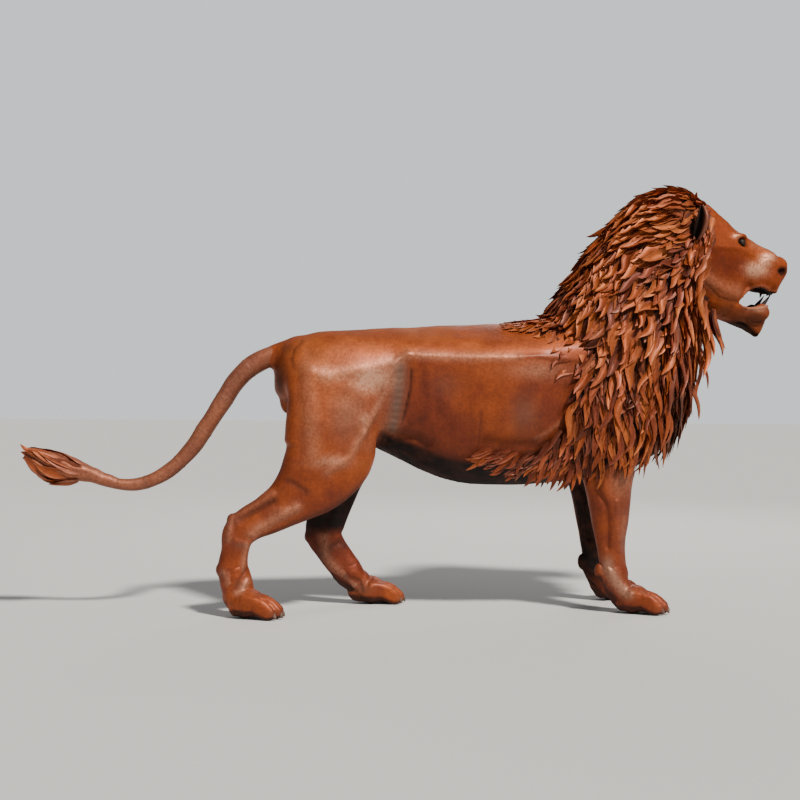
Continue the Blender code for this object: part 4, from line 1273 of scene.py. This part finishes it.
def into_rows(places, normals, share):
    """Moves each root of the neck part of the way to the nearest row, then down onto the form."""
    gap = along_line(FACE_EDGE, places[:, 0], places[:, 2])[0]
    fade = rise(places[:, 2], 1.05, 0.2) * rise(gap, 0.62, -0.1)
    slip = (np.round(gap / ROW_STEP) * ROW_STEP - gap) * share * fade * (gap > 0.07)
    pull = lie(places, normals, chart_at(places[:, 0], places[:, 2])[0])
    moved = places + pull * slip[:, None]
    base, lean = nearest_on_form(moved)
    return moved - lean * ((moved - base) * lean).sum(axis=1)[:, None], lean


under, under_normals = choose_roots(17, along_share=0.34, across_share=0.60)
over, over_normals = choose_roots(7, along_share=0.42, across_share=0.62)
over, over_normals = into_rows(over, over_normals, 0.65)
print("blades below and above:", len(under), len(over))


# %% [markdown]
# ## Combing and cutting the blades
# A blade's middle line starts at its root and takes short steps along the fall. After each step it is
# brought back to the nearest part of the form, except where the form turns away, and there
# the tip hangs free. The line waves from side to side, and its height over the form grows from root to
# tip. Round the line goes a flat section of six points: two raised edges, a sunken middle and a
# thin back.


# %% Comb the middle lines
BLADE_STEPS = 9  # points along a blade


def comb(places, normals, fall, length, wave, phase, free=None):
    """Middle lines (blade, step, 3) and their normals. Each step adds an even part of the length along the
    fall, turned sideways by wave * sin(phase + 5.2 * t); then the point drops onto the plane that touches
    the form at its nearest point, unless the form is too far off or turns away. Free blades never drop."""
    at, up = places, normals
    lines, ups = [at], [up]
    pace = (length / (BLADE_STEPS - 1))[:, None]
    for k in range(1, BLADE_STEPS):
        t = k / (BLADE_STEPS - 1)
        heading = lie(at, up, fall)
        sideways = np.cross(up, heading)
        turn = (wave * np.sin(phase + 5.2 * t))[:, None]
        at = at + (heading * np.cos(turn) + sideways * np.sin(turn)) * pace
        base, lean = nearest_on_form(at)
        drop = ((at - base) * lean).sum(axis=1)
        hold = ((lean * up).sum(axis=1) > 0.55) & (np.abs(drop) < 0.022) & (lean[:, 2] > -0.5)
        hold &= np.linalg.norm(at - base, axis=1) < 0.035
        if free is not None:
            hold &= ~free
        at = np.where(hold[:, None], at - lean * drop[:, None], at)
        up = np.where(hold[:, None], unit(0.55 * up + 0.45 * lean), up)
        lines.append(at)
        ups.append(up)
    return np.stack(lines, axis=1), np.stack(ups, axis=1)


# %% Section and mesh of a blade
# Six points go round a blade's middle line. For each: how far across it lies and how far up, both in
# half widths, how far the back of the sheet lies under its face, and whether it is on the rim, which is
# made pale, partly as wear and partly as a painted highlight.
BLADE_ACROSS = np.array([-1.0, -0.50, 0.45, 1.0, 0.40, -0.40])
BLADE_UP = np.array([0.70, -0.45, -0.40, 0.95, -0.40, -0.45])
BLADE_BACK = np.array([0.0, 0.0, 0.0, 0.0, 1.0, 1.0]) * 0.0036  # the sheet's thickness
BLADE_RIM = np.array([1.0, 0.0, 0.0, 1.0, 0.0, 0.0])
SHARP = math.radians(62)  # faces that meet at more than this keep a sharp edge


def blade_grid(lines, ups, width, lift, twist, cup, curl):
    """Points (blade, step, 6, 3). Across the blade the section is middle + half * (across + cup * up), and
    half is width / 2 * (0.55 + 0.45 min(t / 0.3, 1)) * (1 - t^2.8)^0.9, t running from root to tip."""
    t = np.linspace(0.0, 1.0, lines.shape[1])[None, :]
    height = lift[:, None] * (0.10 + 0.90 * t**1.15) + curl[:, None] * t**4
    middle = lines + ups * height[..., None]
    tangent = unit(np.gradient(middle, axis=1))
    across = unit(np.cross(ups, tangent))
    up = np.cross(tangent, across)
    angle = (twist[:, None] * (0.35 + 0.65 * np.sin(math.pi * t**0.8)))[..., None]
    across, up = across * np.cos(angle) + up * np.sin(angle), up * np.cos(angle) - across * np.sin(angle)
    taper = np.maximum(1 - t**2.8, 0.0) ** 0.9
    half = width[:, None] / 2 * (0.55 + 0.45 * np.minimum(t / 0.3, 1.0)) * taper + 0.0012
    deep = cup[:, None] * half * np.sin(math.pi * (0.08 + 0.85 * t))
    back = BLADE_BACK * np.minimum(1, half[..., None] / 0.008)  # thinner towards the tip
    grid = middle[..., None, :] + across[..., None, :] * (half[..., None] * BLADE_ACROSS)[..., None]
    return grid + up[..., None, :] * (deep[..., None] * BLADE_UP - back)[..., None]


def blade_mesh(name, grid, tone, grey, sooty):
    """All the blades in one mesh, each a closed tube, with their tone and their edges as masks: pale rims,
    partly a painted highlight, and roots darkened as painted shade where the next blade covers them.
    """
    blades, steps, around = grid.shape[:3]
    obj = make_object(name, grid, tube_faces(np.arange(blades * steps * around).reshape(grid.shape[:3])))
    obj.data.set_sharp_from_angle(angle=SHARP)
    t = np.linspace(0.0, 1.0, steps)
    rim = BLADE_RIM[None, None, :] * (0.5 + 0.5 * t)[None, :, None]
    spread = np.ones((blades, steps, around))
    # painted shade towards the root, where the next blade lies over it
    soot = np.clip(1.15 - 2.6 * t, 0, 1)[None, :, None] * spread
    set_masks(obj, tone=tone[:, None, None] * spread, worn=0.16 * rim * spread,
              soot=sooty[:, None, None] * soot, grey=grey[:, None, None] * spread)
    return obj


# %% Draw and cut a layer of blades
def cut_blades(name, places, normals, seed, free=None, sizes=None, below=0.0):
    """Draws each blade's own wave, twist and curl, then combs and cuts it. The lower layer has below = 1:
    it lies close to the form and is darker, as painted shade."""
    draw = np.random.default_rng(seed)
    count = len(places)
    x, y, z = places.T
    fall, length, width, lift = chart_at(x, z)
    if sizes is not None:
        fall, length, width = sizes
    fringe = (z < 0.84) & (x < 0.70)
    fall = fall + draw.normal(0, 0.09, count)
    length = length * draw.uniform(0.95, 1.30, count) * np.where(fringe, 0.86, 1.0)
    width = width * draw.uniform(0.85, 1.15, count)
    level = rise(x, 0.40, 0.25)
    flat = (1 - level) * np.where(fringe, 0.3, 1.0)  # the blades on the back lie flat
    lift = lift * draw.uniform(0.5, 1.15, count) * (1 - 0.65 * below) * (1 - 0.5 * flat)
    side = np.sign(y)
    sway = side * np.where(draw.random(count) < 0.8, 1.0, -1.0) * np.where(fringe, 0.9, 1.0)
    wave = draw.uniform(0.20, 0.70, count) * sway * np.clip(length / 0.14, 0.3, 1.0)
    lines, ups = comb(places, normals, fall, length, wave, draw.normal(1.6, 0.7, count), free=free)
    twist = side * (0.24 * np.sin(fall) - 0.30 * np.cos(fall)) * level
    twist += draw.normal(0.0, 0.12, count) * level
    cup = draw.uniform(0.15, 0.65, count) * (1 - 0.7 * flat)
    curl = draw.normal(0.003, 0.006, count) * (1 - flat)
    grid = blade_grid(lines, ups, width, lift, twist, cup, curl)
    # painted shade and light: the lower layer is darker, and the flat blades on the back brighter
    tone = draw.normal(0.30, 0.75, count) - 0.8 * below * level + 0.9 * (1 - level) * (z > 1.1)
    tone += 0.90 * rise(z, 1.3, 0.3) - 0.9 * fringe
    low = rise(z, 1.10, -0.2)  # browner under the chin, brighter on the shoulder
    tone += low * np.where(x > 1.0, -1.8, 0.45) * ~fringe
    grey = np.where(draw.random(count) < 0.08, draw.uniform(0.10, 0.30, count), 0.0)
    grey = np.maximum(grey, 0.35 * low * (x > 1.0))
    return blade_mesh(name, grid, tone, grey, (0.34 - 0.16 * (z > 1.4)) * level)


# %% Blades of the mane
seed = 11
for layer, places, lean, below in (("over", over, over_normals, 0.0), ("under", under, under_normals, 1.0)):
    for side, word in SIDES:
        mask = places[:, 1] * side > 0
        blades = cut_blades(f"mane_{layer}_{word}", places[mask], lean[mask], seed, below=below)
        finish(blades, BLADE, ["mane"])
        seed += 1

# %% [markdown]
# ## Blades that hang free
# Beside the jaw and under the throat the blades are longer and hang clear, so daylight shows between
# them. Their roots are listed one by one.

# %% Hanging blades
HANGING = np.array([  # x, |y|, z, fall in degrees, length, width
    (1178, 150, 1300, 84, 170, 32), (1190, 132, 1268, 88, 170, 30), (1204, 118, 1262, 98, 170, 30),
    (1222, 112, 1250, 102, 160, 26), (1185, 150, 1220, 90, 160, 30), (1200, 70, 1235, 92, 170, 30),
    (1165, 175, 1340, 76, 150, 34), (1160, 172, 1420, 70, 130, 34), (1165, 165, 1480, 62, 120, 32),
    (1190, 20, 1230, 90, 170, 30), (1222, 120, 1262, 96, 170, 36), (1232, 104, 1268, 92, 180, 34),
    (1165, 170, 1160, 90, 170, 30), (1175, 120, 1140, 90, 170, 30), (1180, 70, 1130, 88, 180, 30),
    (1180, 30, 1100, 88, 180, 30), (1118, 140, 960, 84, 140, 28), (1105, 90, 920, 82, 130, 28),
]) / (1000, 1000, 1000, 1, 1000, 1000)
places = np.concatenate([HANGING[:, :3] * (1, side, 1) for side in (-1, 1)])
falls, lengths, widths = np.tile(HANGING[:, 3:], (2, 1)).T
# they stand out sideways from the face and lean a little forwards
outwards = unit(np.stack([0.45 + 0 * falls, np.sign(places[:, 1]), 0 * falls], axis=-1))
hanging = cut_blades("hanging_blades", places, outwards, 21, np.ones(len(places), bool),
                     (np.radians(falls), lengths, widths))
finish(hanging, BLADE, ["mane"])

# %% [markdown]
# ## Tuft of the tail
# The tail swells smoothly into a core like a bud, with deep grooves that run back round it like locks of
# hair. A few broad blades lie close on its rear half, and their tips come free and close to a ragged
# point. A groove is where h = depth * (|sin(3.5 * (angle + 1.5 s))|^0.5 - 0.75), s running from 0 to 1.

# %% Make the tuft
TUFT = metres([
    (-1240, 520, 22.5, 22.5), (-1294, 538, 27, 26.5), (-1343, 556, 31, 31), (-1377, 567, 38, 36),
    (-1418, 574, 48, 42), (-1459, 583, 57, 47), (-1500, 589, 61, 47), (-1533, 599, 55, 42),
    (-1562, 613, 43, 33), (-1585, 627, 30, 23), (-1602, 638, 17, 13),
])
core = bundle("tuft_core", [loft(TUFT, 0.0, 130, 84, 2.0)])
points, normals = vertex_data(core)
SPINE_STEPS = 400
spine = smooth_rows(TUFT, SPINE_STEPS)
run = np.linspace(0.0, 1.0, SPINE_STEPS)
s_at = np.interp(-points[:, 0], -spine[:, 0], run)
middle = np.interp(s_at, run, spine[:, 1])
angle = np.arctan2(points[:, 2] - middle, points[:, 1])
groove = np.abs(np.sin(3.5 * (angle + 1.5 * s_at + 0.25 * np.sin(9.0 * s_at)))) ** 0.5 - 0.75
grown = rise(s_at, 0.30, 0.35)
points = points + normals * (0.008 * groove * grown + hammered(points, 0.05, 0.0012, 35))[:, None]
set_points(core, points)
# painted shade in the grooves, and painted light on the ridges between them, which are brighter and paler
soot = 1.3 * (np.clip(-groove - 0.05, 0.0, 0.6) * grown)
worn = 0.16 + 0.1 * np.maximum(groove, 0.0)
set_masks(core, tone=0.1 + 0.6 * groove, worn=worn, soot=soot, grey=0.25 * (1.0 - grown))
finish(core, SKIN, ["tail_tuft"])

# %% Blades of the tuft
RINGS, PER_RING = 4, 6
draw = np.random.default_rng(31)
ring = np.repeat(np.arange(RINGS), PER_RING)
count = len(ring)
turn = 2 * math.pi * (np.tile(np.arange(PER_RING), RINGS) + 0.5 * (ring % 2)) / PER_RING
turn += draw.normal(0, 0.16, count)
start = 0.40 + 0.125 * ring + draw.normal(0, 0.03, count)
t = np.linspace(0.0, 1.0, BLADE_STEPS)[None, :]
along = start[:, None] + (0.36 - 0.02 * ring[:, None] + draw.uniform(-0.05, 0.04, (count, 1))) * t
spin = turn[:, None] + draw.normal(-0.25, 0.25, (count, 1)) * t
step = SPINE_STEPS - 1
x, z, reach, width = np.moveaxis(spine[np.clip(along * step, 0, step).astype(int)], -1, 0)
past = np.maximum(along - 1.0, 0.0) * 0.22  # how far a tip runs out behind the core
swell = 0.95 + 0.12 * t * (0.5 + ring[:, None] / RINGS)
across = np.cos(spin) * (width * swell + 0.003 * t)
upwards = np.sin(spin) * (reach * swell + 0.003 * t)
lines = np.stack([x - past, across, z + upwards + 0.6 * past], axis=-1)
ups = np.stack([0 * spin, np.cos(spin), np.sin(spin)], axis=-1)
widths = draw.uniform(0.036, 0.052, count) * (1.0 - 0.11 * ring)
lift, twist = draw.uniform(0.002, 0.006, count), draw.normal(0.0, 0.12, count)
cup, curl = draw.uniform(0.05, 0.30, count), draw.normal(0.001, 0.004, count)
grid = blade_grid(lines, ups, widths, lift, twist, cup, curl)
tone, grey = draw.normal(0.3, 0.4, count), draw.uniform(0.0, 0.2, count)
tuft = blade_mesh("tuft_blades", grid, tone, grey, np.full(count, 0.20))
finish(tuft, BLADE, ["tail_tuft"])

# %% [markdown]
# ## Floor, light and camera
# A pale floor and a pale surround keep the eye on the steel. A warm sun stands high on the lion's right,
# a little ahead, so it draws a bright line along the bent edge of the back; it is seen 7 degrees wide,
# which softens the edges of the shadow. A weak lamp on the tail's side fills the shadows, and one from
# behind gives the far side and the mane's crown an edge. The camera sees the surround brighter than it
# shines, so that it stays pale and the steel keeps its depth.

# %% Floor and surround
R = 40.0  # half the floor's width
floor_mesh = bpy.data.meshes.new("floor")
floor_mesh.from_pydata([(x, y, -0.001) for x, y in ((-R, -R), (R, -R), (R, R), (-R, R))], [], [(0, 1, 2, 3)])
floor = link("floor", floor_mesh)
paper = bpy.data.materials.new("pale_floor")
paper.use_nodes = True
shader = paper.node_tree.nodes["Principled BSDF"]
shader.inputs["Base Color"].default_value = (0.60, 0.595, 0.58, 1.0)
shader.inputs["Roughness"].default_value = 0.9
floor_mesh.materials.append(paper)

world = bpy.data.worlds.new("studio")
bpy.context.scene.world = world
world.use_nodes = True
tree = world.node_tree
seen = tree.nodes["Background"]
seen.inputs["Color"].default_value = (0.86, 0.88, 0.90, 1.0)
around = node(tree, "ShaderNodeBackground", Color=(0.93, 0.96, 1.0, 1.0), Strength=0.24)
pick = tree.nodes.new("ShaderNodeMixShader")
to_camera = tree.nodes.new("ShaderNodeLightPath").outputs["Is Camera Ray"]
for number, source in enumerate((to_camera, around.outputs[0], seen.outputs[0])):
    tree.links.new(source, pick.inputs[number])
tree.links.new(pick.outputs[0], tree.nodes["World Output"].inputs["Surface"])


# %% Lamps
def looking(way):
    """The turn that makes a lamp or a camera look along the way."""
    return Vector(way).to_track_quat("-Z", "Y").to_matrix()


def lamp(name, kind, place, target, power, colour, **shape):
    """A lamp at the place that shines towards the target."""
    data = bpy.data.lights.new(name, kind)
    data.energy, data.color = power, colour
    for key, value in shape.items():
        setattr(data, key, value)
    turn = looking(Vector(target) - Vector(place))
    link(name, data).matrix_world = Matrix.Translation(place) @ turn.to_4x4()


lamp("key", "SUN", (0.0, 0.0, 0.0), (-0.36, 0.64, -0.86), 5.2, (1.0, 0.95, 0.88), angle=math.radians(7))
lamp("fill", "AREA", (-4.0, -3.6, 2.0), (-0.2, 0.0, 0.7), 18, (0.92, 0.96, 1.0), size=3.0)
lamp("back", "AREA", (2.4, 4.2, 3.8), (0.1, 0.0, 0.9), 80, (1.0, 0.97, 0.93), size=2.4)

# %% Camera
CAMERA_PLACE = (-0.9214, -5.5632, 0.888)
AHEAD = (0.14781, 0.98902, -math.tan(math.radians(0.191)))
ROLL = math.radians(0.573)
camera_data = bpy.data.cameras.new("camera")
camera_data.lens, camera_data.sensor_width = 60.75, 36
camera = link("camera", camera_data)
bpy.context.scene.camera = camera
tilt = looking(Vector(AHEAD).normalized()) @ Matrix.Rotation(ROLL, 3, "Z")
camera.matrix_world = Matrix.Translation(CAMERA_PLACE) @ tilt.to_4x4()
